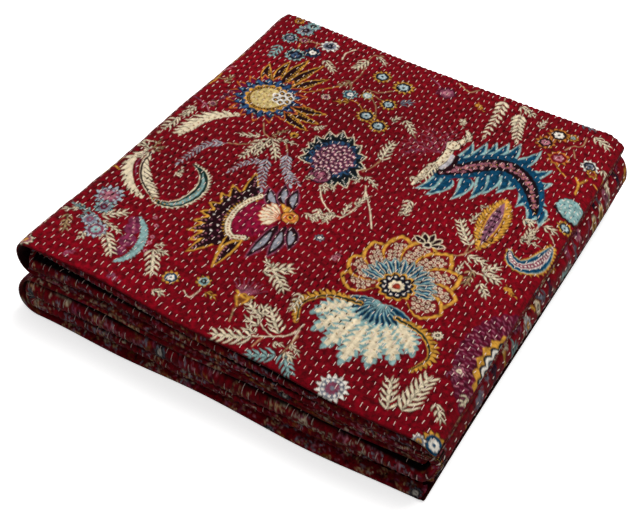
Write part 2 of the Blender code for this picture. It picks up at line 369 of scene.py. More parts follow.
RED = linear(132, 0, 20)
DEEP = linear(38, 4, 14)
PLUM = linear(100, 14, 44)
WINE = linear(120, 8, 50)
DUSK = linear(88, 44, 72)
MAUVE = linear(146, 72, 98)
BRICK = linear(168, 84, 96)
ROSE = linear(206, 120, 138)
CORAL = linear(206, 118, 122)
PINK = linear(196, 120, 136)
CREAM = linear(242, 226, 192)
STRAW = linear(220, 196, 130)
SAND = linear(190, 156, 112)
GOLD = linear(222, 162, 62)
EMBER = linear(214, 128, 52)
FIRE = linear(216, 120, 50)
OCHRE = linear(150, 84, 36)
WHITE = linear(248, 242, 230)
PEARL = linear(206, 200, 204)
ICE = linear(184, 208, 212)
HAZE = linear(176, 188, 198)
SILVER = linear(158, 158, 168)
GREY = linear(128, 132, 146)
AQUA = linear(146, 184, 182)
BLUE = linear(66, 92, 124)
STEEL = linear(40, 76, 112)
COBALT = linear(44, 82, 128)
LAKE = linear(36, 100, 128)
TEAL = linear(6, 72, 106)
GREEN = linear(24, 52, 46)
NAVY = linear(16, 22, 42)
INK = linear(14, 24, 30)
SOFT = 0.45  # how wide the edge of a printed shape blurs
MARGIN = 2  # how far round a shape the canvas is looked at
TOP_REACH = 205  # where the chart of the top ends, at its right
STREWN_TONES = (
    (CREAM, OCHRE, DEEP), (GOLD, CREAM, DEEP), (AQUA, CREAM, PLUM), (MAUVE, PINK, DEEP), (GREY, WHITE, GOLD),
    (NAVY, GOLD, CREAM),
)
# painted light: brightened copies of the palette, so the bits stand out bright in the dim light on the front
# folds
BIT_TONES = (MAUVE * 1.8, SAND * 1.6, DEEP, OCHRE * 1.5, PINK * 1.3, DEEP, CREAM * 1.1, GREY * 1.8)


class Canvas:
    """A field of colour in millimetres that shapes are painted on."""

    def __init__(self, x_span, y_span, step, ground=RED):
        self.x0, self.y0, self.step = x_span[0], y_span[0], step
        self.nx, self.ny = (int((high - low) / step) + 2 for low, high in (x_span, y_span))
        self.rgb = np.tile(ground, (self.ny, self.nx, 1))

    def window(self, x, y, reach):
        """The patch of the canvas within reach of a point, with its places measured from there."""
        i0 = max(int((x - reach - self.x0) / self.step), 0)
        i1 = min(int((x + reach - self.x0) / self.step) + 2, self.nx)
        j0 = max(int((y - reach - self.y0) / self.step), 0)
        j1 = min(int((y + reach - self.y0) / self.step) + 2, self.ny)
        if i1 <= i0 or j1 <= j0:
            return None
        dx = self.x0 + np.arange(i0, i1) * self.step - x
        dy = self.y0 + np.arange(j0, j1) * self.step - y
        return (slice(j0, j1), slice(i0, i1)), *np.meshgrid(dx, dy)

    def lay(self, patch, distance, colour):
        """Paint where distance, which is measured from a shape's edge, is below zero."""
        cover = np.clip(0.5 - distance / SOFT, 0, 1)[..., None]
        self.rgb[patch] += (colour - self.rgb[patch]) * cover

    def sample(self, x, y):
        """The colours at these points."""
        i = np.clip((x - self.x0) / self.step, 0, self.nx - 1.001)
        j = np.clip((y - self.y0) / self.step, 0, self.ny - 1.001)
        i0, j0 = i.astype(int), j.astype(int)
        fi, fj = (i - i0)[:, None], (j - j0)[:, None]
        near = self.rgb[j0, i0] * (1 - fi) + self.rgb[j0, i0 + 1] * fi
        far = self.rgb[j0 + 1, i0] * (1 - fi) + self.rgb[j0 + 1, i0 + 1] * fi
        return near * (1 - fj) + far * fj


def polar(spot, r, bearing):
    """The point at that distance and bearing, in radians, from a spot."""
    return spot[0] + r * math.cos(bearing), spot[1] + r * math.sin(bearing)


def between(start, end, share):
    """The point at that share of the way from start to end."""
    return start[0] + share * (end[0] - start[0]), start[1] + share * (end[1] - start[1])


def span_of(start, end):
    """How far and in which direction end lies from start."""
    across, up = end[0] - start[0], end[1] - start[1]
    return math.hypot(across, up), math.atan2(up, across)


def step_off(start, end, distance):
    """The point at that distance from start, towards end."""
    return between(start, end, distance / span_of(start, end)[0])


def around(spot, r, count, turn=0.0):
    """Points evenly round a circle."""
    return [polar(spot, r, turn + 2 * math.pi * k / count) for k in range(count)]


def arc(spot, r, start, stop, count=9):
    """Points along an arc between two bearings, in degrees."""
    return [polar(spot, r, a) for a in np.radians(np.linspace(start, stop, count))]


def seed_head(spot, count, gap, squash=1.0):
    """Points in a spiral, as seeds lie in a flower's head."""
    turns = [(2.4 * k, gap * math.sqrt(k)) for k in range(count)]
    return [(spot[0] + r * math.cos(a), spot[1] + squash * r * math.sin(a)) for a, r in turns]


def curve(points, step=1.0):
    """A soft line through these points, as close points along it."""
    p = np.array(points, float)
    if len(p) == 2:
        count = max(int(np.linalg.norm(p[1] - p[0]) / step), 2)
        return p[0] + (p[1] - p[0]) * np.linspace(0, 1, count + 1)[:, None]
    p = np.vstack([2 * p[0] - p[1], p, 2 * p[-1] - p[-2]])
    runs = []
    for k in range(1, len(p) - 2):
        count = max(int(np.linalg.norm(p[k + 1] - p[k]) / step), 2)
        t = np.linspace(0, 1, count, endpoint=False)[:, None]
        a, b, d, e = p[k - 1], p[k], p[k + 1], p[k + 2]
        square, cube = 2 * a - 5 * b + 4 * d - e, 3 * b - a - 3 * d + e
        runs.append(0.5 * (2 * b + (d - a) * t + square * t**2 + cube * t**3))
    return np.vstack([*runs, p[-2:-1]])


def disc(c, spot, r, colour):
    """A filled round."""
    found = c.window(*spot, r + MARGIN)
    if found:
        patch, dx, dy = found
        c.lay(patch, np.hypot(dx, dy) - r, colour)


def ring(c, spot, r, width, colour):
    """A line round a circle."""
    found = c.window(*spot, r + width + MARGIN)
    if found:
        patch, dx, dy = found
        c.lay(patch, np.abs(np.hypot(dx, dy) - r) - width / 2, colour)


def dots(c, spots, r, colour):
    """Equal discs at these spots."""
    for spot in spots:
        disc(c, spot, r, colour)


def nested(c, spot, rounds):
    """Discs laid one on another, the widest first."""
    for r, colour in rounds:
        disc(c, spot, r, colour)


def lobes(c, spot, r, count, depth, colour, turn=0.0, squash=1.0, tilt=0.0):
    """A round of petals. depth is how deep the notches go, as a share of r; negative makes points."""
    found = c.window(*spot, r * max(1, squash) + MARGIN)
    if not found:
        return
    patch, dx, dy = found
    ax = dx * math.cos(tilt) + dy * math.sin(tilt)
    ay = (-dx * math.sin(tilt) + dy * math.cos(tilt)) / squash
    bearing = (np.arctan2(ay, ax) - turn) * count / (2 * math.pi)
    if depth > 0:
        shape = 1 - depth * (1 - np.abs(np.cos(math.pi * bearing)))
    else:
        shape = 1 + depth * np.abs(2 * (bearing % 1) - 1)
    c.lay(patch, np.hypot(ax, ay) - r * shape, colour)


def frills(c, spot, rounds, **shape):
    """Rounds of lobes laid one on another: for each its radius, count, depth and colour."""
    for r, count, depth, colour in rounds:
        lobes(c, spot, r, count, depth, colour, **shape)


def leaf(c, root, tip, width, colour, edge=None, vein=None, teeth=0, bend=0.0, rim=1.1, full=0.5):
    """A pointed leaf, widest at the share full of its length. bend bows it and teeth notch its sides."""
    long = span_of(root, tip)[0]
    ux, uy = (tip[0] - root[0]) / long, (tip[1] - root[1]) / long
    x, y = (root[0] + tip[0]) / 2, (root[1] + tip[1]) / 2
    found = c.window(x, y, long / 2 + width + abs(bend) + MARGIN)
    if not found:
        return
    patch, dx, dy = found
    dx, dy = dx + x - root[0], dy + y - root[1]
    s = (dx * ux + dy * uy) / long
    t = -dx * uy + dy * ux - bend * 4 * s * (1 - s)
    inside = np.clip(s, 0, 1)
    skew = 0.69 / -math.log(full)  # brings the blade's widest place to full
    half = width / 2 * np.sin(math.pi * inside**skew) ** 0.85
    if teeth:
        half = half * (0.52 + 0.48 * (teeth * inside % 1))
    past = np.maximum(-s, s - 1) * long
    distance = np.maximum(np.abs(t) - half, past)
    if edge is not None:
        c.lay(patch, distance, edge)
        distance = distance + rim
    c.lay(patch, distance, colour)
    if vein is not None:
        c.lay(patch, np.maximum(np.abs(t) - 0.45, distance + 0.6), vein)


def lined_leaf(c, root, tip, width, colour, line, grow=1.3, **shape):
    """A leaf with a thin line of another colour round it."""
    leaf(c, root, tip, width + grow, line, **shape)
    leaf(c, root, tip, width, colour, **shape)


def stroke(c, points, width, colour, taper=0.0):
    """A line of that width along a soft curve, thinner towards its end by taper."""
    line = curve(points)
    middle = (line.min(axis=0) + line.max(axis=0)) / 2
    found = c.window(*middle, np.abs(line - middle).max() + width + MARGIN)
    if not found:
        return
    patch, dx, dy = found
    nearest = np.full(dx.shape, 1e9)
    for k, (px, py) in enumerate(line - middle):
        nearest = np.minimum(nearest, np.hypot(dx - px, dy - py) - width / 2 * (1 - taper * k / len(line)))
    c.lay(patch, nearest, colour)


def pearls(c, points, r, colour, gap=3.0):
    """Dots at even distances along a soft curve."""
    line = curve(points, 0.5)
    along = np.concatenate([[0], np.cumsum(np.linalg.norm(np.diff(line, axis=0), axis=1))])
    for d in np.arange(0, along[-1], gap):
        disc(c, (np.interp(d, along, line[:, 0]), np.interp(d, along, line[:, 1])), r, colour)


def horn(c, points, width, colour):
    """A band along a curve, pointed at both ends."""
    line = curve(points, 0.7)
    for k, spot in enumerate(line):
        swell = math.sin(math.pi * (k + 1) / (len(line) + 1)) ** 0.75
        disc(c, spot, max(width / 2 * swell, 0.3), colour)


def quill(c, points, far, tone, under, way, angle, gap, wide):
    """Narrow leaves standing out from one side of a curve, longest in its middle."""
    step = 0.8
    line = curve(points, step)
    for k in range(1, len(line) - 1, max(int(gap / step), 1)):
        heading = span_of(line[k - 1], line[k + 1])[1] + way * math.radians(angle)
        long = far * max(math.sin(math.pi * (k + 3) / (len(line) + 6)), 0.05) ** 0.6
        lined_leaf(c, line[k], polar(line[k], long, heading), wide, tone, under, full=0.35)


def frond(c, root, tip, width, colour, bend=0.0):
    """A divided leaf: a slim blade with pairs of leaflets, each with a thin dark line round it."""
    long, heading = span_of(root, tip)
    pairs = max(int(long / 6.0), 2)
    lined_leaf(c, root, tip, width * 0.3, colour, DEEP, 1.4, bend=bend)
    for k in range(pairs):
        s = (k + 0.25) / (pairs + 0.5)
        knot = polar(between(root, tip, s), bend * 4 * s * (1 - s), heading + math.pi / 2)
        reach = width * (1.12 - 0.45 * s)
        for way in (0.7, -0.7):
            end = polar(knot, reach, heading + way)
            lined_leaf(c, knot, end, width * 0.13 + 0.65, colour, DEEP, bend=way * 1.1, full=0.42)
    stroke(c, (root, between(root, tip, 0.8)), 0.7, DEEP, 0.5)


def flower(c, spot, r, petals, petal, edge, heart, turn=0.3):
    """A round floret with pointed petals and a scalloped heart. A large one has a ring of dots too."""
    lobes(c, spot, r * 1.14 + 0.9, petals + 3, -0.3, DEEP, turn)
    lobes(c, spot, r * 1.14, petals + 3, -0.34, edge, turn)
    disc(c, spot, r * 0.76, petal)
    if r > 10:
        dots(c, around(spot, r * 0.6, petals, turn), r * 0.1, edge)
    lobes(c, spot, r * 0.5, petals, 0.25, heart, turn)
    disc(c, spot, r * 0.15, petal)


def sprig(c, points, pairs, size, colour, width=1.0, spread=55, slim=0.42):
    """A stem with small leaves in pairs that get smaller towards its tip."""
    line = curve(points)
    stroke(c, points, width, colour, 0.5)
    for k in range(pairs):
        at = int((len(line) - 2) * (k + 1) / (pairs + 0.6))
        heading = span_of(line[at], line[at + 1])[1]
        long = size * (1 - 0.45 * k / pairs)
        for way in (1, -1):
            tip = polar(line[at], long, heading + way * math.radians(spread))
            if colour is CREAM:
                leaf(c, line[at], tip, long * slim + 1.2, DEEP)
            leaf(c, line[at], tip, long * slim, colour)
    heading = span_of(line[-3], line[-1])[1]
    leaf(c, line[-1], polar(line[-1], size * 0.7, heading), size * 0.3, colour)


def rays(c, spot, inner, outer, start, stop, count, width, colour, *tones, **shape):
    """Petals standing out from a centre between two bearings, in degrees."""
    for a in np.radians(np.linspace(start, stop, count)):
        leaf(c, polar(spot, inner, a), polar(spot, outer, a), width, colour, *tones, **shape)


# ---------------------------------------------------------------- the chart of the top, in millimetres
# Places and the main points of outlines were read from the photograph, as pixels. A scratch program
# then turned them into whole millimetres with the fitted camera, and FRONDS, STEMS, SPRIGS and the
# places in ROSETTES stand as it wrote them. What is inside the forms is drawn anew.
# All measures of the motifs are millimetres on the chart, and x runs along the quilt's front.
FRONDS = (
    # x0, y0, x1, y1, width, tone where it is not cream
    (-104, 30, -126, 21, 6), (-101, 25, -104, -11, 7), (-97, 30, -95, -1, 7), (-95, 32, -74, 5, 8),
    (-95, 34, -86, 52, 4, SAND), (-90, 32, -68, 36, 5), (-178, -41, -194, -30, 6),
    (-177, -39, -178, -22, 5, SAND), (-177, -44, -184, -58, 7), (-173, -41, -169, -30, 4, SAND),
    (-161, -137, -142, -121, 8), (-146, -151, -123, -174, 9), (-157, -142, -131, -147, 5),
    (-186, -149, -175, -171, 7, SAND), (-179, -133, -196, -148, 5), (-172, -137, -191, -134, 5, AQUA),
    (-172, -140, -176, -149, 4, AQUA), (-161, -160, -159, -171, 5), (-101, -147, -83, -177, 10),
    (-98, -148, -84, -148, 5), (-101, -145, -93, -138, 4), (-74, -188, -61, -188, 6),
    (-37, -168, -24, -171, 5, GOLD), (-166, 169, -164, 143, 9, AQUA), (-115, 169, -95, 153, 7),
    (-78, 193, -83, 169, 9), (-72, 203, -57, 192, 5), (-74, 151, -84, 136, 6, SAND),
    (-60, 122, -74, 113, 6, GOLD), (-18, 143, -5, 153, 8, GREY), (-11, 114, -6, 126, 5),
    (-2, 123, 16, 105, 7), (7, 56, 5, 89, 9), (-40, -2, -31, 4, 4), (-23, -1, -14, -12, 5),
    (-18, 2, -8, -5, 4), (2, 28, 0, 13, 4), (5, 29, 23, 18, 5), (162, 195, 182, 186, 9),
    (145, 208, 162, 204, 6, GREY), (184, 159, 199, 145, 7), (83, 203, 104, 193, 8), (113, 180, 115, 198, 5),
    (51, 80, 50, 49, 8), (39, 49, 53, 46, 5), (62, 123, 62, 139, 6), (110, 45, 122, 49, 3),
    (112, 21, 115, 41, 4), (124, -6, 101, 23, 9), (127, 5, 124, 27, 5), (132, 6, 127, 32, 6),
    (149, 50, 162, 46, 8), (163, 27, 163, 45, 7), (168, 50, 183, 50, 7), (157, 23, 176, 25, 4),
    (157, 25, 173, 35, 4), (126, -19, 147, -20, 8), (145, -31, 158, -15, 8), (147, -32, 165, -34, 9),
    (148, -43, 161, -58, 7), (137, -32, 139, -55, 7, SAND), (129, -43, 128, -26, 4),
    (-10, -125, 12, -107, 12), (-1, -121, 18, -137, 10), (-5, -116, -17, -107, 5), (29, -129, 32, -153, 7),
    (18, -169, -5, -157, 9), (16, -167, 13, -152, 7), (38, -177, 16, -154, 10), (20, -177, 3, -173, 7),
    (22, -186, 9, -180, 6), (22, -190, -11, -203, 12), (47, -196, 23, -207, 10, AQUA),
    (49, -193, 66, -211, 9, AQUA), (50, -191, 61, -197, 6), (50, -182, 63, -190, 4),
    (38, -189, 48, -186, 4), (145, -202, 133, -169, 11), (154, -198, 159, -153, 14),
    (172, -177, 183, -192, 7), (-8, -31, -6, -50, 7), (14, -29, 12, -9, 5), (2, -30, 3, -48, 5),
    (7, -29, -3, -44, 5), (54, 21, 56, -3, 7), (59, -1, 60, 14, 5), (-15, -44, -2, -48, 5),
    (16, -12, 23, 8, 5), (-166, 77, -168, 54, 5, MAUVE), (-176, 82, -177, 101, 5, SAND),
    (-181, 36, -182, 15, 7), (-185, 12, -186, -9, 8), (188, -152, 186, -166, 6),
    (166, -144, 178, -151, 6, MAUVE),
)
ROSETTES = (
    # x, y, r, petals, petal, edge, heart
    (-164, 185, 8, 7, NAVY, AQUA, GREY), (-144, 161, 10, 8, NAVY, AQUA, BLUE),
    (-131, 174, 8, 7, NAVY, TEAL, WHITE), (-157, 205, 9, 6, GREY, AQUA, DEEP),
    (-154, 216, 8, 6, AQUA, GREY, DEEP), (-122, 193, 9, 7, GREY, WHITE, NAVY),
    (-149, 189, 5, 5, MAUVE, SAND, PLUM), (-171, 217, 5, 6, OCHRE, GOLD, DEEP),
    (-65, 131, 7, 6, TEAL, AQUA, WHITE), (-50, 138, 6, 6, AQUA, GOLD, WHITE),
    (-52, 174, 9, 9, NAVY, GOLD, ICE), (-26, 169, 10, 9, NAVY, GOLD, ICE),
    (-26, 136, 8, 8, NAVY, GOLD, ICE), (-36, 109, 9, 9, NAVY, GOLD, ICE), (-19, 101, 9, 9, NAVY, GOLD, ICE),
    (14, 184, 9, 7, MAUVE, PLUM, PINK), (126, 163, 9, 7, DEEP, EMBER, PINK),
    (133, 180, 10, 8, DEEP, EMBER, WHITE), (145, 147, 10, 7, RED, EMBER, PINK),
    (146, 183, 5, 5, OCHRE, GOLD, AQUA), (174, 151, 8, 7, NAVY, WHITE, GREY),
    (179, 144, 5, 5, OCHRE, GOLD, RED), (184, 63, 7, 7, NAVY, GOLD, ICE),
    (-171, -112, 12, 9, MAUVE, HAZE, PINK), (-166, -126, 8, 7, GREY, AQUA, PLUM),
    (-154, -153, 9, 8, MAUVE, HAZE, AQUA), (-166, -145, 7, 6, GREY, HAZE, MAUVE),
    (-69, -168, 7, 6, TEAL, GOLD, WHITE), (-44, -158, 6, 5, AQUA, GOLD, DEEP),
    (10, -64, 4, 5, NAVY, GREY, WHITE), (99, -203, 12, 11, GREY, WHITE, MAUVE),
    (186, -208, 9, 8, TEAL, GOLD, WHITE), (-79, 47, 4, 6, GOLD, GOLD, OCHRE),
    (-169, 48, 4, 5, PINK, SAND, DEEP), (174, -139, 5, 6, MAUVE, PINK, CREAM),
    (176, -213, 5, 6, GREY, WHITE, GOLD), (-195, -191, 6, 6, MAUVE, CREAM, GOLD),
    (44, -252, 6, 6, GREY, AQUA, GOLD),
)
EDGE_BITS = (
    # points, width, tone: bits of the print at the left and back edges
    (((-187, 136), (-190, 126), (-195, 119)), 1.6, GOLD), (((-196, 139), (-190, 126)), 1.2, GOLD),
    (((-189, 102), (-187, 87), (-188, 75)), 1.6, GOLD), (((-178, 89), (-187, 87)), 1.2, SAND),
    (((-191, -61), (-194, -73), (-194, -85)), 1.8, GOLD),
    (((-185, -79), (-194, -73), (-201, -69)), 1.4, GOLD),
    (((-194, -20), (-194, -30), (-189, -41)), 1.6, CREAM), (((-183, -30), (-191, -32)), 1.4, CREAM),
    (((-190, 50), (-175, 44), (-172, 54)), 1.2, MAUVE), (((-174, 37), (-175, 44), (-164, 35)), 1.0, PINK),
    (((-10, 199), (3, 191), (5, 177)), 1.2, MAUVE), (((18, 205), (32, 198), (39, 206)), 1.2, SAND),
    (((-97, 202), (-102, 191), (-100, 179)), 1.2, CREAM), (((192, 126), (201, 115), (200, 102)), 1.6, GOLD),
    (((198, 98), (197, 85)), 1.4, GOLD), (((-205, -124), (-206, -134), (-210, -143)), 1.4, MAUVE),
    (((-211, -153), (-201, -155), (-194, -166)), 1.2, CREAM),
)
STEMS = (
    # points, width, tone
    (((-112, 47), (-104, 35), (-95, 32), (-81, 33), (-71, 21)), 1.0, SAND),
    (((-101, 25), (-111, 11), (-125, 4)), 0.9, SAND),
    (((-190, -136), (-172, -137), (-160, -141), (-146, -151), (-138, -158)), 1.2, AQUA),
    (((-161, -140), (-162, -153), (-159, -160)), 0.9, CREAM),
    (((-166, 188), (-151, 189), (-135, 191), (-122, 193)), 0.9, SAND),
    (((-131, 174), (-135, 191)), 0.8, SAND), (((-144, 161), (-150, 181)), 0.8, GOLD),
    (((-67, 207), (-77, 200), (-72, 168), (-72, 148), (-65, 131)), 0.9, SAND),
    (((-54, 147), (-43, 148), (-33, 158)), 0.9, SAND), (((-50, 144), (-37, 139), (-26, 136)), 0.8, SAND),
    (((-49, 140), (-36, 128), (-27, 111)), 0.8, SAND), (((-61, 123), (-52, 122), (-36, 109)), 0.8, GOLD),
    (((-117, 104), (-100, 114), (-90, 126), (-80, 137)), 0.9, GOLD),
    (((0, 33), (5, 46), (7, 61)), 0.9, SAND),
    (((-23, -4), (-12, -20), (2, -30), (13, -31), (18, -14), (17, 4), (12, 17)), 1.1, CREAM),
    (((2, -31), (-5, -40), (-16, -43)), 0.9, CREAM), (((14, 12), (30, -10), (42, -30)), 1.1, CREAM),
    (((56, 93), (53, 84), (53, 76)), 3.4, CREAM),
    (((146, 161), (150, 171), (158, 176), (157, 190)), 0.9, SAND), (((153, 166), (158, 155)), 0.8, SAND),
    (((145, 138), (154, 129), (160, 125)), 1.0, GOLD), (((176, 108), (174, 121), (169, 128)), 1.8, GOLD),
    (((174, 121), (178, 133)), 1.4, GOLD), (((194, 114), (193, 133), (190, 151)), 1.6, GOLD),
    (((193, 133), (185, 134)), 1.2, GOLD), (((111, -28), (123, -19), (129, -7), (138, 3)), 1.0, SAND),
    (((123, -6), (124, -17)), 0.9, SAND), (((128, -26), (140, -33), (153, -32)), 1.0, CREAM),
    (((169, 62), (165, 49), (164, 34), (158, 24)), 0.9, CREAM),
    (((112, 44), (125, 37), (133, 36)), 0.9, SAND),
    (((49, -158), (45, -173), (34, -182), (21, -189)), 1.1, CREAM),
    (((34, -182), (21, -176), (13, -166)), 0.9, CREAM), (((28, -187), (26, -198)), 0.9, SAND),
    (((49, -165), (50, -177), (54, -186)), 0.9, CREAM), (((-7, -172), (-3, -185)), 1.1, SAND),
    (((-52, -175), (-44, -179), (-41, -168)), 0.9, CREAM),
    (((51, -171), (50, -188), (49, -195)), 0.9, SAND), (((11, 112), (19, 103)), 0.8, SAND),
    (((177, 45), (183, 39)), 0.8, CREAM), (((-131, -95), (-134, -105)), 0.8, SAND),
    (((173, -211), (181, -210)), 0.8, SAND),
)
SPRIGS = (
    # points, pairs, leaf, tone
    (((-125, 4), (-140, -10), (-146, -42)), 11, 6, HAZE), (((-83, 6), (-76, -14), (-65, -34)), 8, 7, HAZE),
    (((-83, 1), (-95, -11), (-101, -29)), 7, 5, HAZE), (((-71, 21), (-61, 1), (-47, -16)), 9, 7, HAZE),
    (((-60, -1), (-49, -8), (-41, -12)), 4, 5, HAZE), (((66, 208), (71, 178), (73, 144)), 8, 11, CREAM),
    (((88, 195), (93, 175), (101, 153)), 7, 12, CREAM),
    (((-182, 40), (-183, 13), (-186, -13)), 7, 6, CREAM), (((34, 92), (24, 85), (20, 72)), 4, 5, MAUVE),
)
RAY_TIPS = (
    (-157, 133), (-142, 147), (-127, 159), (-110, 158), (-95, 140), (-70, 90), (-69, 74), (-73, 60),
)
THISTLE_TIPS = (
    (-60, 20), (-63, 33), (-63, 45), (-62, 57), (-54, 70), (-43, 77), (-31, 75), (-18, 67), (-6, 54),
    (1, 38), (4, 20), (-1, 5), (-12, -4),
)
FLAMES = (
    # root x and y, tip x and y
    (67, 86, 68, 127), (75, 95, 79, 135), (85, 102, 87, 139), (91, 110, 97, 145), (101, 116, 107, 149),
    (114, 115, 128, 149), (126, 106, 147, 127), (135, 95, 154, 110), (143, 84, 161, 78), (147, 79, 159, 60),
    (63, 62, 50, 37), (71, 67, 62, 34), (85, 76, 84, 40), (96, 88, 98, 49), (103, 97, 105, 61),
    (114, 99, 115, 69), (122, 102, 121, 79), (137, 89, 137, 61), (146, 78, 148, 60), (150, 72, 153, 45),
    (153, 72, 165, 47),
)
TEAL_SPINE = (
    (60, 72), (74, 84), (84, 94), (99, 107), (115, 110), (131, 101), (142, 88), (151, 72), (156, 62),
)
ARCH = ((46, 41), (48, 63), (53, 81), (55, 94), (54, 109), (59, 123), (62, 132), (56, 139))
SPIKES = (
    (-80, -18), (-89, -43), (-92, -58), (-94, -74), (-94, -88), (-92, -101), (-90, -114), (-82, -124),
    (-76, -137), (-48, -141),
)
YOKE = ((-60, -44), (-68, -64), (-66, -86), (-56, -100), (-43, -97))
LOTUS = (
    # root x and y, tip x and y
    (-38, -52, -61, -29), (-32, -48, -50, -18), (-27, -48, -37, -18), (-28, -68, -31, -118),
    (-22, -66, -16, -108), (-18, -64, -5, -91),
)
SCALLOPS = ((57, NAVY), (55, WHITE), (52.6, NAVY), (51, linear(190, 200, 212)))
FRINGE = ((-68, -40), (-78, -66), (-76, -92), (-62, -112))
SICKLE = ((-176, -40), (-174, -58), (-163, -76), (-150, -88), (-137, -96))
HOOK = ((-140, -95), (-128, -97), (-117, -92), (-110, -78), (-110, -60), (-119, -45), (-134, -38))
AQUA_HOOK = ((-132, -121), (-120, -132), (-112, -149), (-112, -166), (-119, -177))
CREASE_HOOK = ((154, 8), (161, -3), (171, -6), (179, 2), (183, 16), (184, 34))


def sunburst(c, spot):
    """A sun flower: long dark rays on two sides, scallops, a seed head and a floret of white eyes."""
    for k, tip in enumerate(RAY_TIPS):
        ends = step_off(spot, tip, 22), step_off(tip, spot, -2)
        leaf(c, *ends, 11, DEEP, GOLD, rim=1.2, bend=2.5 if k < 5 else -2.5, full=0.42)
        pearls(c, (step_off(spot, tip, 34), step_off(tip, spot, 10)), 0.8, GOLD, 3.2)
    frills(c, spot, ((40, 16, -0.32, FIRE), (37.2, 16, -0.32, WINE)))
    frills(c, spot, ((34, 17, -0.26, NAVY), (32, 17, -0.28, COBALT)))
    petals = 19
    half_turn = math.pi / petals
    dots(c, around(spot, 25, petals, half_turn), 2.2, NAVY)
    dots(c, around(spot, 27.5, petals, half_turn), 0.9, AQUA)
    lobes(c, spot, 22.5, 17, 0.12, GOLD)
    disc(c, spot, 20, GOLD)
    ring(c, spot, 17.8, 3.0, DEEP)
    pearls(c, arc(spot, 17.8, 0, 360, 30), 0.7, GOLD, 2.8)
    disc(c, spot, 16, STRAW)
    dots(c, seed_head((spot[0] - 2, spot[1] - 1), 24, 2.9), 0.8, OCHRE)
    eye = (spot[0] + 13, spot[1] + 8)
    for place in (*around(eye, 7.5, 7, 0.4), eye):
        nested(c, place, ((3.9, WHITE), (2.4, DEEP), (0.9, GOLD)))


def thistle(c, spot):
    """A thistle head: dark bracts with cream tips round a mauve seed head, over a small cup."""
    for wide, tone, less in ((16, CREAM, 0.0), (14.4, INK, 1.7)):
        for tip in THISTLE_TIPS:
            leaf(c, step_off(spot, tip, 14), step_off(tip, spot, less), wide, tone, full=0.35)
    for tip in THISTLE_TIPS:
        leaf(c, step_off(tip, spot, 13), step_off(tip, spot, 5), 4, GREEN)
        pearls(c, (step_off(tip, spot, 12), step_off(tip, spot, 4)), 0.7, WHITE, 2.6)
        heading = span_of(spot, tip)[1]
        eye = (spot[0] + 21 * math.cos(heading), spot[1] + 25 * math.sin(heading))
        nested(c, eye, ((3.4, STEEL), (1.2, DEEP)))
    lobes(c, spot, 20.5, 20, 0.1, STEEL, squash=1.2)
    lobes(c, (spot[0], spot[1] + 1), 19, 16, 0.08, DUSK, squash=1.2)
    for seed in seed_head(spot, 56, 2.5, 1.2):
        nested(c, seed, ((1.7, ROSE), (0.8, WHITE)))
    cup = (spot[0] + 1, spot[1] - 26)
    nested(c, cup, ((11, NAVY), (9.6, MAUVE), (6.5, DEEP), (5.2, MAUVE), (2.6, PINK)))
    pearls(c, arc(cup, 8.2, 0, 180), 0.7, WHITE, 2.6)


def teal_leaf(c):
    """A long leaf of teal flames: their spine with florets, the cream arch they rise from, and twigs."""
    for k, row in enumerate(FLAMES):
        root, tip = row[:2], row[2:]
        bend = -3 if k < 10 else 3
        leaf(c, root, tip, 14.5, AQUA * 1.1, full=0.2, bend=bend)
        leaf(c, root, step_off(tip, root, 4), 9.6, TEAL, full=0.2, bend=bend)
    for row in FLAMES:
        root, tip = row[:2], row[2:]
        stroke(c, (root, between(tip, root, 0.35)), 0.9, LAKE, 0.5)
    flame_spine(c)
    arch = curve(ARCH)
    for wide, tone in ((9.4, DEEP), (7.6, CREAM)):
        for k, spot in enumerate(arch):
            disc(c, spot, wide / 2 * math.sin(math.pi * (k + 4) / (len(arch) + 8)) ** 0.6, tone)
    nested(c, (54, 112), ((7.5, DEEP), (6.4, CREAM)))
    for k, (x, y) in enumerate(curve(ARCH, 3.4)[2:-2]):
        disc(c, (x + 1.5 * (-1) ** k, y), 0.9, OCHRE)
    stroke(c, ((62, 73), (66, 84), (64, 98)), 5.0, DEEP)
    stroke(c, ((58, 76), (61, 86), (60, 97)), 4.2, PEARL)
    twigs(c, (48, 96))


def flame_spine(c):
    """The teal leaf's dark middle, with two lanes of small florets."""
    spine = curve(TEAL_SPINE)
    count = len(spine)
    for wide, tone in ((15, TEAL), (8.4, NAVY), (7.4, linear(24, 6, 14))):
        for k, spot in enumerate(spine):
            disc(c, spot, wide * math.sin(math.pi * (0.16 + 0.83 * k / count)) ** 0.5, tone)
    shake = np.random.default_rng(4)
    for k in range(2, int(count * 0.95), 3):
        for off in (-3.2, 3.2):
            r = 2.2 * (1 - 0.4 * k / count)
            dx, dy = shake.normal(0, 0.9, 2)
            floret = (spine[k][0] + dx, spine[k][1] + off * (1 - 0.6 * k / count) + dy)
            nested(c, floret, ((0.85 * r, (CORAL, BRICK, PINK)[k % 3]), (0.3 * r, DEEP)))
    pearls(c, TEAL_SPINE[1:], 0.6, GOLD, 5.0)


def twigs(c, root):
    """A loose fan of mauve twigs."""
    shake = np.random.default_rng(9)
    for k in range(9):
        a = math.radians(92 + 15 * k)
        far = 34 + 9 * shake.random()
        middle = polar(polar(root, 0.5 * far, a), 5 * shake.normal(), a + math.pi / 2)
        stroke(c, (root, middle, polar(root, far, a)), 0.9, MAUVE, 0.4)
        for out in (0.35, 0.55, 0.75):
            knot = polar(root, out * far, a)
            for way in (0.7, -0.7):
                end = polar(knot, 5 + 5 * shake.random(), a + way)
                stroke(c, (knot, end), 0.7, MAUVE if k % 3 else PINK)


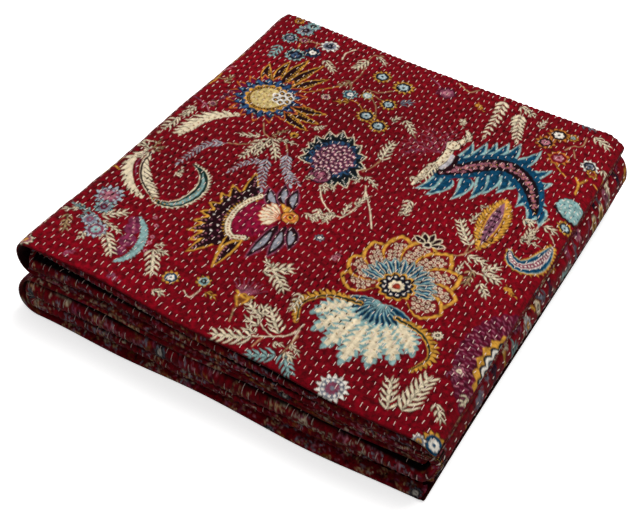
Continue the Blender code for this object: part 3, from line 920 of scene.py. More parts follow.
def maroon_flower(c):
    """A fringed flower: gold-edged spikes, a maroon bell in a cream yoke, and grey petals at its mouth."""
    middle = (-55, -74)
    for wide, tone, less in ((15.5, GOLD, 0.0), (12.2, DEEP, 3.2)):
        for tip in SPIKES:
            root = step_off(middle, tip, 6)
            leaf(c, root, step_off(tip, middle, less), wide, tone, full=0.42, bend=1.5)
    for tip in SPIKES:
        pearls(c, (between(middle, tip, 0.45), step_off(tip, middle, 6)), 0.9, PINK, 3.6)
    stroke(c, FRINGE, 11, DEEP)
    for k, (x, y) in enumerate(curve(FRINGE, 3.4)):
        disc(c, (x + 3.6 * (-1) ** k, y), 1.0, (MAUVE, WHITE, PINK)[k % 3])
    stroke(c, ((-41, -96), (-52, -110), (-52, -124), (-48, -140)), 3.4, GOLD, 0.5)
    lobes(c, (-50, -73), 19, 11, 0.05, linear(128, 8, 46), squash=1.45, tilt=-0.25)
    lobes(c, (-49, -73), 16, 11, 0.05, linear(142, 10, 52), squash=1.4, tilt=-0.25)
    quill(c, YOKE, 6, GOLD, DEEP, -1, 70, 3.2, 2.4)
    stroke(c, YOKE, 6.0, DEEP)
    pearls(c, YOKE, 2.6, CREAM, 3.2)
    pearls(c, YOKE, 0.9, OCHRE, 3.2)
    for row in LOTUS:
        root, tip = row[:2], row[2:]
        leaf(c, root, tip, 13, MAUVE, full=0.45, bend=2)
        leaf(c, root, between(tip, root, 0.06), 10.6, DEEP, full=0.45, bend=2)
        leaf(c, between(root, tip, 0.2), between(root, tip, 0.8), 5.4, SILVER, bend=1.5)
    mouth = (-28, -58)
    for k in range(7):
        a = math.radians(146 + 15 * k)
        tip = (mouth[0] + 24 * math.cos(a), mouth[1] + 21 * math.sin(a))
        leaf(c, mouth, tip, 6.6, CREAM, linear(196, 96, 60), rim=1.0, full=0.7)
    leaf(c, (-42, -42), (-20, -54), 9, GOLD, OCHRE, full=0.6)
    amber, rust = linear(214, 140, 62), linear(176, 52, 34)
    nested(c, (-24, -55), ((8.2, DEEP), (7.2, amber), (4.4, rust), (2.8, GOLD), (1.4, DEEP)))


def palmette(c, spot):
    """A lotus palmette: a ring of dotted petals over a skirt of leaves, with two hooks and a crown."""
    x, y = spot
    waist, heart = (x, y - 24), (x, y + 2)
    for k in range(-3, 4):
        a = math.radians(-90 + k * 17)
        reach = 74 - abs(k) * 5
        leaf(c, polar(waist, 10, a), polar(waist, reach, a), 25, CREAM, AQUA, None, 9, k * 1.4, 3.4, 0.55)
        for out in (0.45, 0.58, 0.7, 0.82):
            lanes = [polar(polar(waist, reach * out, a), lane, a + math.pi / 2) for lane in (-2.6, 2.6)]
            dots(c, lanes, 0.8, SAND)
    for k in range(9):
        dotted_petal(c, spot, math.radians(-112 + k * 28))
    rays(c, heart, 8, 34, 5, 175, 13, 8, TEAL, AQUA, CREAM, full=0.6)
    rays(c, (x, y - 20), 2, 30, 196, 344, 13, 7, TEAL, AQUA, NAVY)
    frills(c, heart, ((17, 12, 0.2, GOLD), (14.5, 12, 0.18, NAVY)))
    dots(c, around(heart, 10.5, 12), 1.1, WHITE)
    lobes(c, heart, 7, 8, 0.2, CREAM)
    disc(c, heart, 3.4, linear(176, 60, 40))
    for way in (-1, 1):
        hook = [(x + way * out, y - down) for out, down in ((16, 30), (42, 36), (56, 54), (50, 74))]
        quill(c, hook, 9, GOLD, DEEP, way, 62, 4.0, 3.6)
        stroke(c, hook, 5.0, GOLD, 0.5)
        stroke(c, hook, 2.6, GREEN, 0.5)
    rays(c, (x, y + 60), 1, 16, 20, 160, 5, 7, DEEP, CREAM)
    nested(c, (x, y + 60), ((4, CREAM), (2.6, DEEP)))


def dotted_petal(c, spot, turned):
    """One petal of the palmette's ring, with five lanes of dots. turned is its bearing from straight up."""
    x, y = spot
    ca, sa = math.cos(turned), math.sin(turned)
    tip = (x + 50 * sa, y + 8 + 60 * ca * (1.0 if ca > 0 else 0.75))
    inner_tip = (x + (tip[0] - x) * 0.93, y + (tip[1] - y) * 0.93)
    leaf(c, (x + 8 * sa, y + 8 * ca), tip, 31, GOLD, OCHRE, full=0.62, rim=0.7)
    leaf(c, (x + 9 * sa, y + 9 * ca), inner_tip, 25, linear(128, 18, 26), full=0.62)
    sideways = span_of(spot, tip)[1] + math.pi / 2
    for lane in (-2, -1, 0, 1, 2):
        ends = ((0.4, 0.86), (0.46, 0.82), (0.52, 0.7))[abs(lane)]
        path = [polar(between(spot, tip, end), 4.2 * lane, sideways) for end in ends]
        pearls(c, path, 1.7, CREAM, 4.4)
        pearls(c, path, 0.8, RED, 4.4)


def half_palmette(c, spot):
    """A round flower that the fold cuts: a halo of short mauve scales round gold, dark and white scallops."""
    lobes(c, spot, 78, 46, 0.03, linear(104, 12, 44))
    scales = 76
    for j, r in enumerate((75.5, 71.5, 67.5, 63.5)):
        for k in range(scales):
            a = 2 * math.pi * (k + 0.5 * (j % 2)) / scales
            outer = polar(spot, r, a)
            if outer[0] < TOP_REACH:
                stroke(c, (outer, polar(spot, r - 2.6, a)), 1.5, MAUVE if (j + k) % 3 else PINK)
    lobes(c, spot, 61.5, 30, -0.06, GOLD)
    frills(c, spot, ((r, 30, 0.05, tone) for r, tone in SCALLOPS))
    disc(c, spot, 47, linear(168, 190, 190))
    dots(c, around(spot, 44, 12), 6, MAUVE)


def feather(c):
    """The cream comb feather under the sun flower."""
    path = ((-137, 46), (-150, 37), (-161, 22), (-169, -8))
    quill(c, path, 20, CREAM, DEEP, -1, 34, 6.8, 4.4)
    quill(c, path, 8, CREAM, DEEP, 1, 34, 5.6, 3.4)
    horn(c, path, 5.6, CREAM)
    pearls(c, path, 0.9, OCHRE, 6.0)


def sickle(c):
    """Two combed feathers that meet in a sickle, and the green hook that ends it."""
    outer = ((-180, -42), (-184, -58), (-177, -76), (-162, -91), (-146, -98))
    quill(c, outer, 12, CREAM, DEEP, -1, 36, 6.4, 4.0)
    horn(c, outer, 6.4, CREAM)
    quill(c, SICKLE, 17, CREAM, DEEP, 1, 40, 6.4, 3.2)
    horn(c, SICKLE, 3.6, CREAM)
    stroke(c, ((-175, -44), (-173, -60), (-162, -78), (-142, -93)), 2.2, DEEP, 0.3)
    stroke(c, ((-178, -52), (-177, -64), (-168, -78)), 1.6, MAUVE, 0.3)
    quill(c, HOOK, 9, CREAM, DEEP, -1, 60, 3.4, 3.0)
    horn(c, HOOK, 11, CREAM)
    horn(c, HOOK, 8.6, GREEN)
    horn(c, HOOK[1:6], 4.2, AQUA)
    pearls(c, HOOK[:5], 0.7, GOLD, 4.0)


def crescents(c):
    """The aqua crescent on its mauve ground at the left, and the gold and teal one at the crease."""
    for r, spots in ((7.5, ((-129, -136), (-124, -150))), (5.5, ((-133, -127), (-122, -163)))):
        dots(c, spots, r, linear(128, 44, 78))
    pearls(c, ((-133, -128), (-124, -144), (-122, -164)), 1.2, PINK, 4.4)
    for way in (-1, 1):
        quill(c, AQUA_HOOK, 5, AQUA, DEEP, way, 60, 3.2, 2.8)
    horn(c, AQUA_HOOK, 6.2, AQUA)
    for way, far in ((-1, 12), (1, 10)):
        quill(c, CREASE_HOOK, far, GOLD, DEEP, way, 56, 4.0, 4.0)
    for wide, tone in ((17, GOLD), (14.6, AQUA), (12.8, TEAL), (6.4, WHITE), (4.8, linear(150, 70, 92))):
        horn(c, CREASE_HOOK, wide, tone)
    pearls(c, CREASE_HOOK, 0.9, WHITE, 3.4)
    for spot in ((-121, -115), (-114, -123), (-109, -136), (-107, -143), (-104, -153)):
        nested(c, spot, ((2.0, PINK), (0.9, RED)))


def gold_leaf(c):
    """A broad leaf with a spiky gold edge and dark seeds on mauve."""
    root, tip = (131, -6), (127, 66)
    quill(c, (root, (137, 18), (135, 44), tip), 9, GOLD, DEEP, -1, 46, 4.8, 3.4)
    quill(c, (root, (123, 18), (121, 42), tip), 9, GOLD, DEEP, 1, 46, 4.8, 3.4)
    leaf(c, (131, -8), (127, 68), 14, GOLD, full=0.55)
    leaf(c, (131, -2), (127, 62), 11, linear(152, 96, 120), full=0.55)
    stroke(c, ((131, -2), (129, 28), (127, 54)), 1.0, DEEP)
    for k in range(7):
        for way in (-1, 1):
            disc(c, (130 - 0.5 * k + way * (2.6 - 0.2 * k), 6 + 7 * k), 1.4, DEEP)
            disc(c, (130 - 0.5 * k + way * (4.6 - 0.6 * abs(k - 3)), 9 + 7 * k), 0.7, PINK)


def dome(c, spot):
    """An aqua dome with seeds, dark under its left edge."""
    frills(c, spot, ((15, 14, 0.12, DEEP), (14, 14, 0.12, AQUA)))
    for k, seed in enumerate(seed_head(spot, 26, 2.5)):
        disc(c, seed, 0.8, TEAL if k % 2 else WHITE)
    x, y = spot
    stroke(c, ((x - 13, y - 5), (x - 3, y - 13), (x + 9, y - 13)), 2.4, DEEP)


def fan_cup(c):
    """A small gold cup with a fan of mauve threads."""
    mouth = (-8, -156)
    for k in range(9):
        a = math.radians(48 + 12 * k)
        stroke(c, (mouth, polar(mouth, 20, a)), 1.6, MAUVE, 0.5)
        stroke(c, (mouth, polar(mouth, 13, a + 0.1)), 1.0, PINK, 0.5)
    leaf(c, (-7, -172), (-8, -152), 14, GOLD, OCHRE, full=0.7)
    leaf(c, (-7, -168), (-8, -154), 7, OCHRE, full=0.7)
    stroke(c, ((-16, -153), (-8, -157), (0, -153)), 2.4, GOLD)


def bow_of(spot, turn, long, sag):
    """Three points of a shallow bow through a spot, for a small stem."""
    x, y = spot
    ca, sa = math.cos(turn), math.sin(turn)
    start, end = (x - long * ca, y - long * sa), (x + long * ca, y + long * sa)
    return start, (x + sag * sa, y - sag * ca), end


def fill_in(c, spots, count, low, high, gap):
    """Small sprigs and florets on the ground that the big motifs leave bare."""
    taken = [np.array(spot[:2], float) for spot in spots]
    for _ in range(count * 12):
        x = low[0] + (high[0] - low[0]) * rng.random()
        y = low[1] + (high[1] - low[1]) * rng.random()
        here = c.sample(np.array([x, x + 4, x - 4, x, x]), np.array([y, y, y, y + 4, y - 4]))
        kind, turn = rng.integers(0, 4), rng.random() * 6.3
        tone = (CREAM, MAUVE, GOLD, CREAM, BLUE, PINK)[rng.integers(0, 6)]
        crowded = any(np.hypot(*(spot - (x, y))) < gap for spot in taken)
        if crowded or np.abs(here - RED).max() > 0.03:
            continue
        taken.append(np.array((x, y)))
        if kind == 0:
            flower(c, (x, y), 3.2 + 1.4 * rng.random(), 5 + rng.integers(0, 3), tone, CREAM, DEEP, turn)
        elif kind == 1:
            sprig(c, bow_of((x, y), turn, 6, 2), 4, 4.5, tone, 0.8)
        else:
            frond(c, *bow_of((x, y), turn, 7, 0)[::2], 6, tone)
        if len(taken) > len(spots) + count:
            break


def paint_top():
    """The print of the top layer, on its chart."""
    c = Canvas((-240, TOP_REACH), (-262, 262), 0.5)
    for points, width, colour in (*STEMS, *EDGE_BITS):
        stroke(c, points, width + 0.3, colour)
    sunburst(c, (-130, 83))
    feather(c)
    thistle(c, (-31, 35))
    teal_leaf(c)
    sickle(c)
    maroon_flower(c)
    palmette(c, (92, -84))
    half_palmette(c, (240, -112))
    crescents(c)
    dome(c, (180, 86))
    for points, pairs, size, colour in SPRIGS:
        long, slim = (1.4, 0.2) if colour is HAZE else (1, 0.32)
        sprig(c, points, pairs, size * long, colour, 0.8, 38, slim)
    for x0, y0, x1, y1, width, *tone in FRONDS:
        frond(c, (x0, y0), (x1, y1), width, tone[0] if tone else CREAM, 1.2)
    gold_leaf(c)
    fan_cup(c)
    for x, y, *form in ROSETTES:
        flower(c, (x, y), *form)
    fill_in(c, (*ROSETTES, *FRONDS), 26, (-236, -258), (202, 258), 24)
    return c


def paint_scatter(span_u, span_v, seed):
    """A face of the cloth that shows in strips: like motifs strewn over it, in its flat measure."""
    draws = np.random.default_rng(seed)
    c = Canvas((span_u[0] - 3, span_u[1] + 3), (span_v[0] - 3, span_v[1] + 3), 0.7)
    taken = []
    wide, deep = span_u[1] - span_u[0], span_v[1] - span_v[0]
    for _ in range(int(wide * deep / 40)):
        x, y = span_u[0] + wide * draws.random(), span_v[0] + deep * draws.random()
        kind, turn = draws.integers(0, 6), draws.random() * 6.3
        tones = STREWN_TONES[draws.integers(0, len(STREWN_TONES))]
        size = 0.45 + 0.5 * draws.random()
        if any((x - tx) ** 2 + (y - ty) ** 2 < (8.5 * (size + ts)) ** 2 for tx, ty, ts in taken[-400:]):
            continue
        taken.append((x, y, size))
        if kind < 1:
            flower(c, (x, y), 8 * size, 6 + draws.integers(0, 3), *tones, turn)
        elif kind < 3:
            sprig(c, bow_of((x, y), turn, 11, 3), 6, 7 * size, tones[0], 1.0, 42)
        elif kind == 3:
            quill(c, bow_of((x, y), turn, 11, 5), 6 * size, tones[0], tones[2], 1, 50, 3.0, 2.4)
        else:
            frond(c, *bow_of((x, y), turn, 9, 0)[::2], 9 * size, tones[0], 2)
    return c


def paint_front(span_u, span_v, seed, stretch):
    """The folds' noses show only broken bits of the print: strokes in clumps, some curls, few florets."""
    draws = np.random.default_rng(seed)
    low, high = stretch * span_v[0], stretch * span_v[1]
    # painted light: the ground is a fifth brighter than the top's red, so the noses' ridges look lit
    c = Canvas((span_u[0] - 3, span_u[1] + 3), (low - 3, high + 3), 0.6, RED * 1.2)
    wide, deep = span_u[1] - span_u[0], stretch * (span_v[1] - span_v[0])
    for _ in range(int(wide * deep / 75)):
        x, y = span_u[0] + wide * draws.random(), low + deep * draws.random()
        tone, heading = BIT_TONES[draws.integers(0, len(BIT_TONES))], draws.random() * 6.3
        for _ in range(draws.integers(4, 11)):
            spot = (x + 4.5 * draws.normal(), y + 3.5 * draws.normal())
            a, long = heading + 0.9 * draws.normal(), 1.2 + 2.0 * draws.random()
            stroke(c, (spot, polar(spot, long, a)), 0.7 + 0.7 * draws.random(), tone)
    for k in range(int(wide / 70)):
        x, y = span_u[0] + wide * draws.random(), stretch * sum(span_v) / 2 + 5 * draws.normal()
        tone = (GOLD, OCHRE, CREAM)[k % 3]
        bow = 6 * draws.normal()
        stroke(c, ((x, y), (x + 7, y + bow), (x + 15, y), (x + 22, y - bow)), 1.0, tone, 0.4)
        leaf(c, (x, y), (x + 7, y + 4), 3.2, tone, None, OCHRE, bend=1)
        if k % 4 == 0:
            flower(c, (x - 9, y + 2), 5, 6, DEEP, GREY, WHITE)
    return c


# ---------------------------------------------------------------- node materials
def set_inputs(tree, node, **inputs):
    """Set a node's inputs to values, or link them to other nodes' outputs."""
    for name, value in inputs.items():
        fill(tree, node.inputs[name.replace("_", " ")], value)
    return node


def fill(tree, socket, value):
    """Set one input to a value, or link it to another node's output."""
    if isinstance(value, bpy.types.NodeSocket):
        tree.links.new(value, socket)
    else:
        socket.default_value = value


def add_node(tree, kind, **inputs):
    """A new node with these inputs."""
    return set_inputs(tree, tree.nodes.new(kind), **inputs)


def math_node(tree, operation, *values):
    """The output of one sum."""
    node = tree.nodes.new("ShaderNodeMath")
    node.operation = operation
    for socket, value in zip(node.inputs, values):
        fill(tree, socket, value)
    return node.outputs[0]


def blend_colour(tree, kind, share, a, b):
    """The output of a colour mix."""
    node = tree.nodes.new("ShaderNodeMix")
    node.data_type = "RGBA"
    node.blend_type = kind
    for name, value in (("Factor_Float", share), ("A_Color", a), ("B_Color", b)):
        fill(tree, next(s for s in node.inputs if s.identifier == name), value)
    return next(s for s in node.outputs if s.identifier == "Result_Color")


def new_material(name):
    """A material, its node tree, its shader and its places on the flat cloth in metres."""
    material = bpy.data.materials.new(name)
    material.use_nodes = True
    tree = material.node_tree
    uv = tree.nodes.new("ShaderNodeUVMap")
    uv.uv_map = "Cloth"
    return material, tree, tree.nodes["Principled BSDF"], uv.outputs[0]


def cloth_material(name):
    """Printed cotton: its own print, faded and with uneven wear, with fine mottling that is partly painted
    shade of small wrinkles, over a plain weave with slubs.
    """
    material, tree, shader, place = new_material(name)
    attribute = tree.nodes.new("ShaderNodeAttribute")
    attribute.attribute_name = "Print"
    printed = attribute.outputs["Color"]

    def speckle(scale, detail, **more):
        node = add_node(tree, "ShaderNodeTexNoise", Vector=place, Scale=scale, Detail=detail, **more)
        return node.outputs["Fac"]

    def threads_along(direction):
        node = add_node(tree, "ShaderNodeTexWave", Vector=place, Scale=560.0, Distortion=0.6)
        node.bands_direction = direction
        return node.outputs["Fac"]

    def spread(value, low, high, least=0.0, most=1.0):
        limits = {"From_Min": least, "From_Max": most, "To_Min": low, "To_Max": high}
        return add_node(tree, "ShaderNodeMapRange", Value=value, **limits).outputs[0]

    wear = speckle(16.0, 5.0, Roughness=0.6)
    stretched = add_node(tree, "ShaderNodeMapping", Vector=place, Scale=(260.0, 1500.0, 1.0))
    slubs = add_node(tree, "ShaderNodeTexNoise", Vector=stretched.outputs[0], Scale=1.0, Detail=2.0)
    weave = math_node(tree, "MULTIPLY", threads_along("X"), threads_along("Y"))
    pale = math_node(tree, "MAXIMUM", spread(wear, -0.1, 0.06), 0.0)
    colour = blend_colour(tree, "MIX", pale, printed, (0.4, 0.12, 0.1, 1))

    shade = spread(speckle(5.0, 2.0), 0.7, 1.18, 0.3, 0.7)
    # painted shade: this fine mottling stands partly for uneven print and partly for the shading of small
    # wrinkles
    mottle_and_wrinkle_shade = spread(speckle(190.0, 3.0, Roughness=0.65), 0.26, 1.28, 0.3, 0.66)
    for factor in (spread(slubs.outputs["Fac"], 0.75, 1.25), mottle_and_wrinkle_shade, spread(weave, 0.9, 1.14)):
        shade = math_node(tree, "MULTIPLY", shade, factor)
    green = add_node(tree, "ShaderNodeSeparateColor", Color=printed).outputs["Green"]
    spared_on_pale = math_node(tree, "MULTIPLY", green, 0.75)  # pale print gets less of the mottling and painted wrinkle shade
    mottled = math_node(tree, "MULTIPLY", shade, math_node(tree, "SUBTRACT", 1.0, spared_on_pale))
    shade = math_node(tree, "ADD", mottled, spared_on_pale)
    grey = add_node(tree, "ShaderNodeCombineColor", Red=shade, Green=shade, Blue=shade)
    colour = blend_colour(tree, "MULTIPLY", 1.0, colour, grey.outputs[0])

    fine = add_node(tree, "ShaderNodeBump", Strength=0.35, Distance=0.00025, Height=weave)
    crumple = speckle(240.0, 4.0, Roughness=0.6)
    normal = fine.outputs[0]
    rough = add_node(tree, "ShaderNodeBump", Strength=0.6, Distance=0.0012, Height=crumple, Normal=normal)
    set_inputs(tree, shader, Base_Color=colour, Roughness=spread(wear, 0.82, 0.98), Normal=rough.outputs[0])
    set_inputs(tree, shader, Sheen_Weight=0.02, Sheen_Roughness=0.5, Specular_IOR_Level=0.07)
    return material


def thread_material(name, dark, pale):
    """Cotton sewing thread, two-ply."""
    material, tree, shader, place = new_material(name)
    tone = add_node(tree, "ShaderNodeTexNoise", Vector=place, Scale=60.0, Detail=3.0).outputs["Fac"]
    turned = add_node(tree, "ShaderNodeMapping", Vector=place, Rotation=(0, 0, 0.6)).outputs[0]
    twist = add_node(tree, "ShaderNodeTexWave", Vector=turned, Scale=420.0, Distortion=0.4).outputs["Fac"]
    ply = blend_colour(tree, "MIX", twist, (0.72, 0.66, 0.6, 1), (1, 1, 1, 1))
    colour = blend_colour(tree, "MULTIPLY", 1.0, blend_colour(tree, "MIX", tone, dark, pale), ply)
    bump = add_node(tree, "ShaderNodeBump", Strength=0.5, Distance=0.0003, Height=twist)
    set_inputs(tree, shader, Base_Color=colour, Roughness=math_node(tree, "MULTIPLY", tone, 1.4))
    set_inputs(tree, shader, Sheen_Weight=0.15, Normal=bump.outputs[0])
    return material


cotton = cloth_material("printed_cotton_cloth")
thread = thread_material("kantha_thread", (0.74, 0.5, 0.44, 1), (1.0, 0.9, 0.8, 1))
soiled_thread = thread_material("kantha_thread_soiled", (0.42, 0.22, 0.2, 1), (0.95, 0.82, 0.74, 1))


# ---------------------------------------------------------------- the cloth: core, faces and stitches
def core_lines():
    """Lines of the plain cloth's grid along its length and across its width, closer where it folds."""
    on_run, on_turn, near_edge, on_leaf, on_nose = 36, 15, 5, 17, 9  # lines on each stretch
    border = 12.0  # closer lines this far from a leaf's ends
    rim = HALF * math.pi / 2
    before, after = np.array((-rim, -rim * 2 / 3, -rim / 3)), np.array((rim / 3, rim * 2 / 3, rim))
    us, vs = [before], [before]
    for run in range(4):
        us.append(run * PASS + np.linspace(0, RUN, on_run))
        if run < 3:
            us.append(run * PASS + RUN + np.linspace(0, TURN, on_turn)[1:-1])
    for third in range(3):
        start = third * (LEAF + NOSE)
        far = LEAF - border
        vs.append(start + np.linspace(0, border, near_edge))
        vs.append(start + np.linspace(border, far, on_leaf)[1:-1])
        vs.append(start + np.linspace(far, LEAF, near_edge))
        if third < 2:
            vs.append(start + LEAF + np.linspace(0, NOSE, on_nose)[1:-1])
    return np.concatenate([*us, LENGTH + after]), np.concatenate([*vs, WIDTH + after])


def core_cloth(colour_of):
    """The plain cloth under the stitched faces: one closed sheet, both faces joined round its edges."""
    us, vs = core_lines()
    nu, nv = len(us), len(vs)
    u, v = crossed(us, vs)
    points = np.vstack([placed(u, v, side, CORE - HALF) for side in (A, B)])
    index = np.arange(nu * nv).reshape(nu, nv)
    under = index + nu * nv
    under[0], under[-1], under[:, 0], under[:, -1] = index[0], index[-1], index[:, 0], index[:, -1]
    quads = np.vstack([grid_quads(nu, nv, A), under.ravel()[grid_quads(nu, nv, B)]])
    share = np.stack([(u - us[0]) / (us[-1] - us[0]) / 2, (v - vs[0]) / (vs[-1] - vs[0])], axis=1)
    share = share * 0.996 + 0.002
    bake = np.vstack([share, share + (0.5, 0)])
    flat = np.tile(on_flat(u, v), (2, 1))
    used = np.unique(quads)
    renumber = np.zeros(len(points), int)
    renumber[used] = np.arange(len(used))
    colours = colour_of(np.tile(u, 2), np.tile(v, 2))[used]
    return mesh_object("cloth", points[used], renumber[quads], flat[used], bake[used], cotton, colours)


def hem_skin(name, u_span, v_span, step, across, colour_of, reach=14.0):
    """A hem's two faces and its rounded edge in one grid: the long hem (across 'v') or an end hem ('u')."""
    rim = HALF * math.pi / 2
    long, far = (u_span, v_span) if across == "v" else (v_span, u_span)
    n_long = int((long[1] - long[0]) / step) + 1
    n_round = int(2 * (reach + rim) / step) | 1
    round_span = (-(reach + rim), reach + rim)
    a, b = crossed(np.linspace(*long, n_long), np.linspace(*round_span, n_round))
    past = np.abs(b) - rim
    out = far[0] + past if far[0] == 0 else far[1] - past
    u, v = (a, out) if across == "v" else (out, a)
    lift = relief(np.clip(u, 0, LENGTH), np.clip(v, 0, WIDTH)) * smooth(past / 3)
    lift = lift - SUNK * (1 - smooth((reach - past) / BLEND))
    for end in (a - long[0], long[1] - a):
        lift = lift - SUNK * (1 - smooth(end / 3.0))
    sides = [placed(u, v, side, lift) for side in (A, B)]
    points = np.where((b < 0)[:, None], sides[0], sides[1])
    quads = grid_quads(n_long, n_round, B if (across == "v") == (far[0] == 0) else A)
    bake = bake_place(a, long, b, round_span)
    return mesh_object(name, points, quads, on_flat(u, v), bake, cotton, colour_of(a, b + HEM_PRINT / 2))


def stitch_list(u_span, v_span, kept):
    """For each stitch: its row's place, its start, its length and how far it leans."""
    found = []
    for number in range(4 * (ROWS + TURN_ROWS)):
        place = row_place(number)
        if not (u_span[0] <= place <= u_span[1]) or not (2 < place < LENGTH - 2):
            continue
        first, last = math.floor(v_span[0] / PITCH) - 1, math.ceil(v_span[1] / PITCH) + 1
        starts = np.arange(first, last) * PITCH + PHASES[number]
        starts = starts + rng.normal(0, START_SHAKE, len(starts))
        lengths = SHOWN + rng.normal(0, LENGTH_SHAKE, len(starts))
        ends = np.minimum(starts + lengths, min(v_span[1], WIDTH - HEM_GAP))
        starts = np.maximum(starts, max(v_span[0], HEM_GAP))
        keep = (ends - starts > SHORTEST) & (rng.random(len(starts)) < kept)
        for start, length in zip(starts[keep], (ends - starts)[keep]):
            at = place + ROW_BEND * math.sin(start / ROW_BEND_LENGTH + WANDER[number])
            found.append((at + rng.normal(0, ROW_SHAKE), start, length, rng.normal(0, LEAN_SHAKE)))
    return np.array(found)


def stitches(name, side, u_span, v_span, ring_steps, dash_steps, material=thread, kept=1.0):
    """Running stitches on one face: short lengths of thread that rise from the cloth and dive back."""
    found = stitch_list(u_span, v_span, kept)
    count = len(found)
    wrap = 1.9  # the thread's section shows to this angle on each side, in radians
    t = np.linspace(0, 1, dash_steps + 1)[None, :, None]
    phi = np.linspace(-wrap, wrap, ring_steps + 1)[None, None, :]
    u0, v0, long, lean = (found[:, k][:, None, None] for k in range(4))
    radius = THREAD * (0.55 + 0.45 * np.sin(math.pi * t) ** 0.5) * np.ones_like(u0)
    u = (u0 + lean * (t - 0.5) * 2 + radius * np.sin(phi)).ravel()
    v = (v0 + long * t + 0 * phi).ravel()
    arch = 1 - np.abs(2 * t - 1) ** 3
    lift = relief(u, v) + ((-0.75 + 0.72 * arch) + radius * np.cos(phi)).ravel()
    shape = (count, dash_steps + 1, ring_steps + 1)
    block = np.arange(np.prod(shape)).reshape(shape)
    corners = (block[:, :-1, :-1], block[:, :-1, 1:], block[:, 1:, 1:], block[:, 1:, :-1])
    quads = np.stack(corners, axis=-1).reshape(-1, 4)
    if side == A:
        quads = quads[:, ::-1]
    cells = max(int(math.ceil(math.sqrt(count))), 1)
    column, row = (index[:, None, None] for index in (np.arange(count) % cells, np.arange(count) // cells))
    in_cell = (0.1 + 0.8 * (phi + wrap) / (2 * wrap) + 0 * t, 0.1 + 0.8 * t + 0 * phi)
    bake = (np.stack([column + in_cell[0], row + in_cell[1]], axis=-1) / cells).reshape(-1, 2)
    return mesh_object(name, placed(u, v, side, lift), quads, on_flat(u, v), bake, material)


def chart_place(u, v):
    """Where a point of the top layer lies on the chart, which is drawn at one level."""
    share = v / LEAF
    at = smooth(np.clip(share, 0, 1))
    start, end = (side[0] + (side[1] - side[0]) * at for side in SIDES[:2])
    x = start + (end - start) * u / RUN
    cx = np.clip(x, SIDES[1][0], SIDES[0][0])
    front, back = front_edge(0, 0, cx), through(BACKS, cx)
    y = front + (back - front) * share
    rise = height(0, 0, cx, np.clip(y, front, back), drops=False) + HALF - CHART_LEVEL
    return x + CHART_SLANT[0] * rise, y + CHART_SLANT[1] * rise


def strewn(u_span, v_span, seed, along=1.0):
    """Strewn motifs. along evens out a turn, which is longer on its outside than the flat cloth."""
    start, end = u_span
    canvas = paint_scatter((start, start + along * (end - start)), v_span, seed)
    return lambda u, v: canvas.sample(start + along * (u - start), v)


def painted_gap_shade(colour_of, middle, reach, least):
    """Painted shade: the colour darkens away from a fold's outermost line, where the cloth goes into the
    stack.
    """

    def shaded(u, v):
        outermost = 1 - smooth((np.abs(v - middle) - reach) / reach)
        return colour_of(u, v) * (least + (1 - least) * outermost)[:, None]

    return shaded


# where the cloth folds, in its flat measure
turn_01, turn_12, turn_23 = ((k * PASS + RUN, (k + 1) * PASS) for k in range(3))
nose_ab = (LEAF, LEAF + NOSE)
nose_bc = (2 * LEAF + NOSE, 2 * (LEAF + NOSE))
rim = HALF * 1.9
first_third = (-rim, nose_ab[1] + 8)

# the print of each face
top_print = paint_top()
front_v = (nose_bc[0] - 13, nose_bc[1] + 13)
FRONT_STRETCH = 1.6
front_print = paint_front((-5, LENGTH + 5), front_v, 5, FRONT_STRETCH)
hem_canvas = paint_front((-5, LENGTH + 5), (0, HEM_PRINT), 12, 1.0)


def top_colour(u, v):
    """The top layer's print."""
    return top_print.sample(*chart_place(u, v))


def nose_colour(u, v):
    """The print of the front folds."""
    return front_print.sample(u, FRONT_STRETCH * v)


def hem_print(u, v):
    """The print of the hems, painted a quarter darker."""
    return hem_canvas.sample(u, v) * 0.75


# painted shade: the front folds go to near black towards the gaps between the layers
front_colour = painted_gap_shade(nose_colour, sum(nose_bc) / 2, 2.5, 0.01)
side_u, side_v = (turn_12[0] - 12, turn_12[1] + 12), (nose_bc[1] - 8, WIDTH + rim)
back_u, back_v = (turn_01[1] - 2, turn_23[0] + 2), (LEAF - 10, nose_ab[1] + 10)
low_u = (turn_23[0] - 6, turn_23[1] + 4)
under_u = (turn_23[1] + 1, LENGTH + rim)
FINE = (0.86, 0.86)
cuts = (-rim, 132.0, 268.0, PASS + 8)
side_print = strewn(side_u, (side_v[0], WIDTH + 5), 6)
back_print = strewn(back_u, back_v, 7)
low_print = strewn(low_u, first_third, 9, 2.0)
under_print = strewn(under_u, first_third, 8)
faces = [
    # name, face, along, across, grid, print, borders that sink into the cloth
    skin("top_right", A, cuts[:2], first_third, FINE, top_colour, (0, 0, 0, 1)),
    skin("top_middle", A, cuts[1:3], first_third, FINE, top_colour, (0, 0, 0, 1)),
    skin("top_left", A, cuts[2:], first_third, FINE, top_colour, (0, 1, 0, 1)),
    skin("front_folds", B, (-rim, LENGTH + rim), front_v, (1.0, 0.95), front_colour, (0, 0, 1, 1)),
    skin("right_fold", B, side_u, side_v, (1.1, 1.4), side_print, (1, 1, 1, 0)),
    skin("back_folds", A, back_u, back_v, (1.6, 1.3), back_print, (1, 1, 1, 1)),
    skin("lower_left_fold", A, low_u, first_third, (1.5, 1.4), low_print, (1, 0, 0, 1)),
    skin("underside", A, under_u, first_third, (3.2, 3.2), under_print, (1, 0, 0, 1)),
    hem_skin("front_hem", (PASS - 6, LENGTH - 0.5), (0, WIDTH), 1.3, "v", hem_print),
    hem_skin("first_end_hem", (0, LENGTH), (LEAF + 4, WIDTH - 0.5), 1.6, "u", hem_print, 9.0),
]
# painted shade: the plain cloth shows only in the gaps between layers and is coloured near black, a tenth of
# the red ground
core = core_cloth(lambda u, v: np.tile(RED * 0.1, (len(u), 1)))
stitched_third = (0, nose_ab[1] + 2)
sewn_nose = (front_v[0] + 5, front_v[1] - 5)
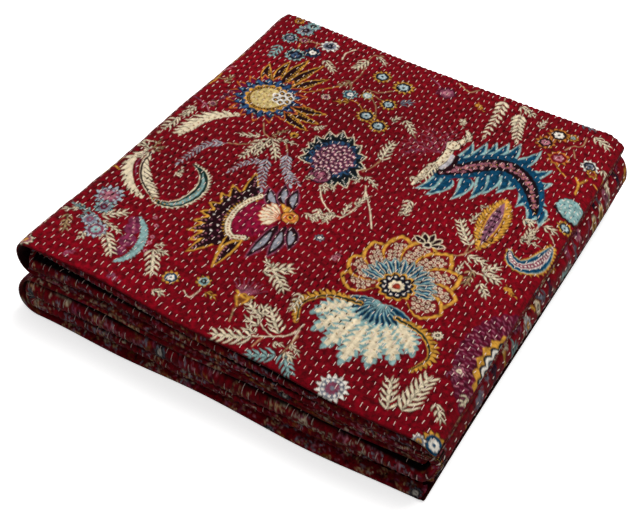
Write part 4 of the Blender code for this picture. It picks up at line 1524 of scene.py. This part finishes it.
threads = [
    # name, face, along, across, steps round and along each stitch
    stitches("stitches_top", A, (-1, PASS + 2), stitched_third, 3, 4),
    stitches("stitches_front", B, (0, LENGTH), sewn_nose, 4, 5, soiled_thread, 0.8),
    stitches("stitches_right", B, (turn_12[0] - 8, turn_12[1] + 8), (nose_bc[1] - 4, WIDTH), 3, 4),
    stitches("stitches_back", A, (turn_01[1] + 1, turn_23[0] - 1), (LEAF - 4, nose_ab[1] + 4), 3, 4),
    stitches("stitches_under", A, (turn_23[0] - 4, LENGTH), stitched_third, 2, 2),
]
for piece in [core, *faces, *threads]:
    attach(piece, "root")
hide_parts("kantha_quilt")


# ---------------------------------------------------------------- floor, light and camera
def white_floor():
    """A pale floor that fades into the background."""
    material = bpy.data.materials.new("pale_floor")
    material.use_nodes = True
    tree = material.node_tree
    paper = tree.nodes["Principled BSDF"]
    set_inputs(tree, paper, Base_Color=(0.95, 0.95, 0.96, 1), Roughness=0.95, Specular_IOR_Level=0.1)
    set_inputs(tree, paper, Emission_Color=(1, 1, 1, 1), Emission_Strength=0.58)
    bpy.ops.mesh.primitive_plane_add(size=12, location=(0, 0, -0.0005))
    floor = bpy.context.active_object
    floor.name = "floor"
    floor.data.materials.append(material)
    floor.visible_diffuse = False


def studio_world():
    """A pale sky, dark at the horizon."""
    world = bpy.data.worlds.new("studio")
    bpy.context.scene.world = world
    world.use_nodes = True
    sky = world.node_tree
    heading = sky.nodes.new("ShaderNodeTexCoord").outputs["Generated"]
    split = add_node(sky, "ShaderNodeSeparateXYZ", Vector=heading)
    limits = {"From_Min": 0.0, "From_Max": 0.9, "To_Min": 0.02, "To_Max": 0.58}
    ramp = add_node(sky, "ShaderNodeMapRange", Value=split.outputs["Z"], **limits)
    background = sky.nodes["Background"]
    set_inputs(sky, background, Strength=ramp.outputs[0], Color=(1.0, 0.99, 0.98, 1))


def facing(place, forward, roll=0.0):
    """The matrix of a lamp or camera that looks forward from a place, turned about its line of sight."""
    level = np.cross(forward, (0, 0, 1))
    level /= np.linalg.norm(level)
    upright = np.cross(level, forward)
    right = math.cos(roll) * level + math.sin(roll) * upright
    up = -math.sin(roll) * level + math.cos(roll) * upright
    return Matrix.Translation(place) @ Matrix(np.stack([right, up, -forward], axis=1).tolist()).to_4x4()


def area_light(name, place, aim, size, power, tint):
    """A soft lamp at a place, aimed at a point."""
    data = bpy.data.lights.new(name, "AREA")
    data.size = size
    data.energy = power
    data.color = tint
    lamp = bpy.data.objects.new(name, data)
    beam = np.array(aim) - np.array(place)
    lamp.matrix_world = facing(place, beam / np.linalg.norm(beam))
    bpy.context.scene.collection.objects.link(lamp)


def photo_camera(eye, azimuth, elevation, roll, lens):
    """The photograph's camera, as fitted to the quilt."""
    level = math.cos(elevation)
    forward = np.array((math.sin(azimuth) * level, math.cos(azimuth) * level, -math.sin(elevation)))
    camera = bpy.data.objects.new("camera", bpy.data.cameras.new("camera"))
    camera.data.sensor_width = 36.0
    camera.data.lens = lens
    camera.data.clip_start = 0.05
    camera.matrix_world = facing(eye, forward, roll)
    bpy.context.scene.collection.objects.link(camera)
    bpy.context.scene.camera = camera


white_floor()
studio_world()
area_light("key", (0.3, 0.62, 1.95), (0, 0, 0.05), 1.2, 31, (1.0, 0.98, 0.96))
turned, tilted, rolled = (math.radians(angle) for angle in (-27.18, 43.29, 3.0))
photo_camera((0.35679, -0.73455, 0.75954), turned, tilted, rolled, 67.5)
bpy.context.scene.view_settings.view_transform = "Standard"
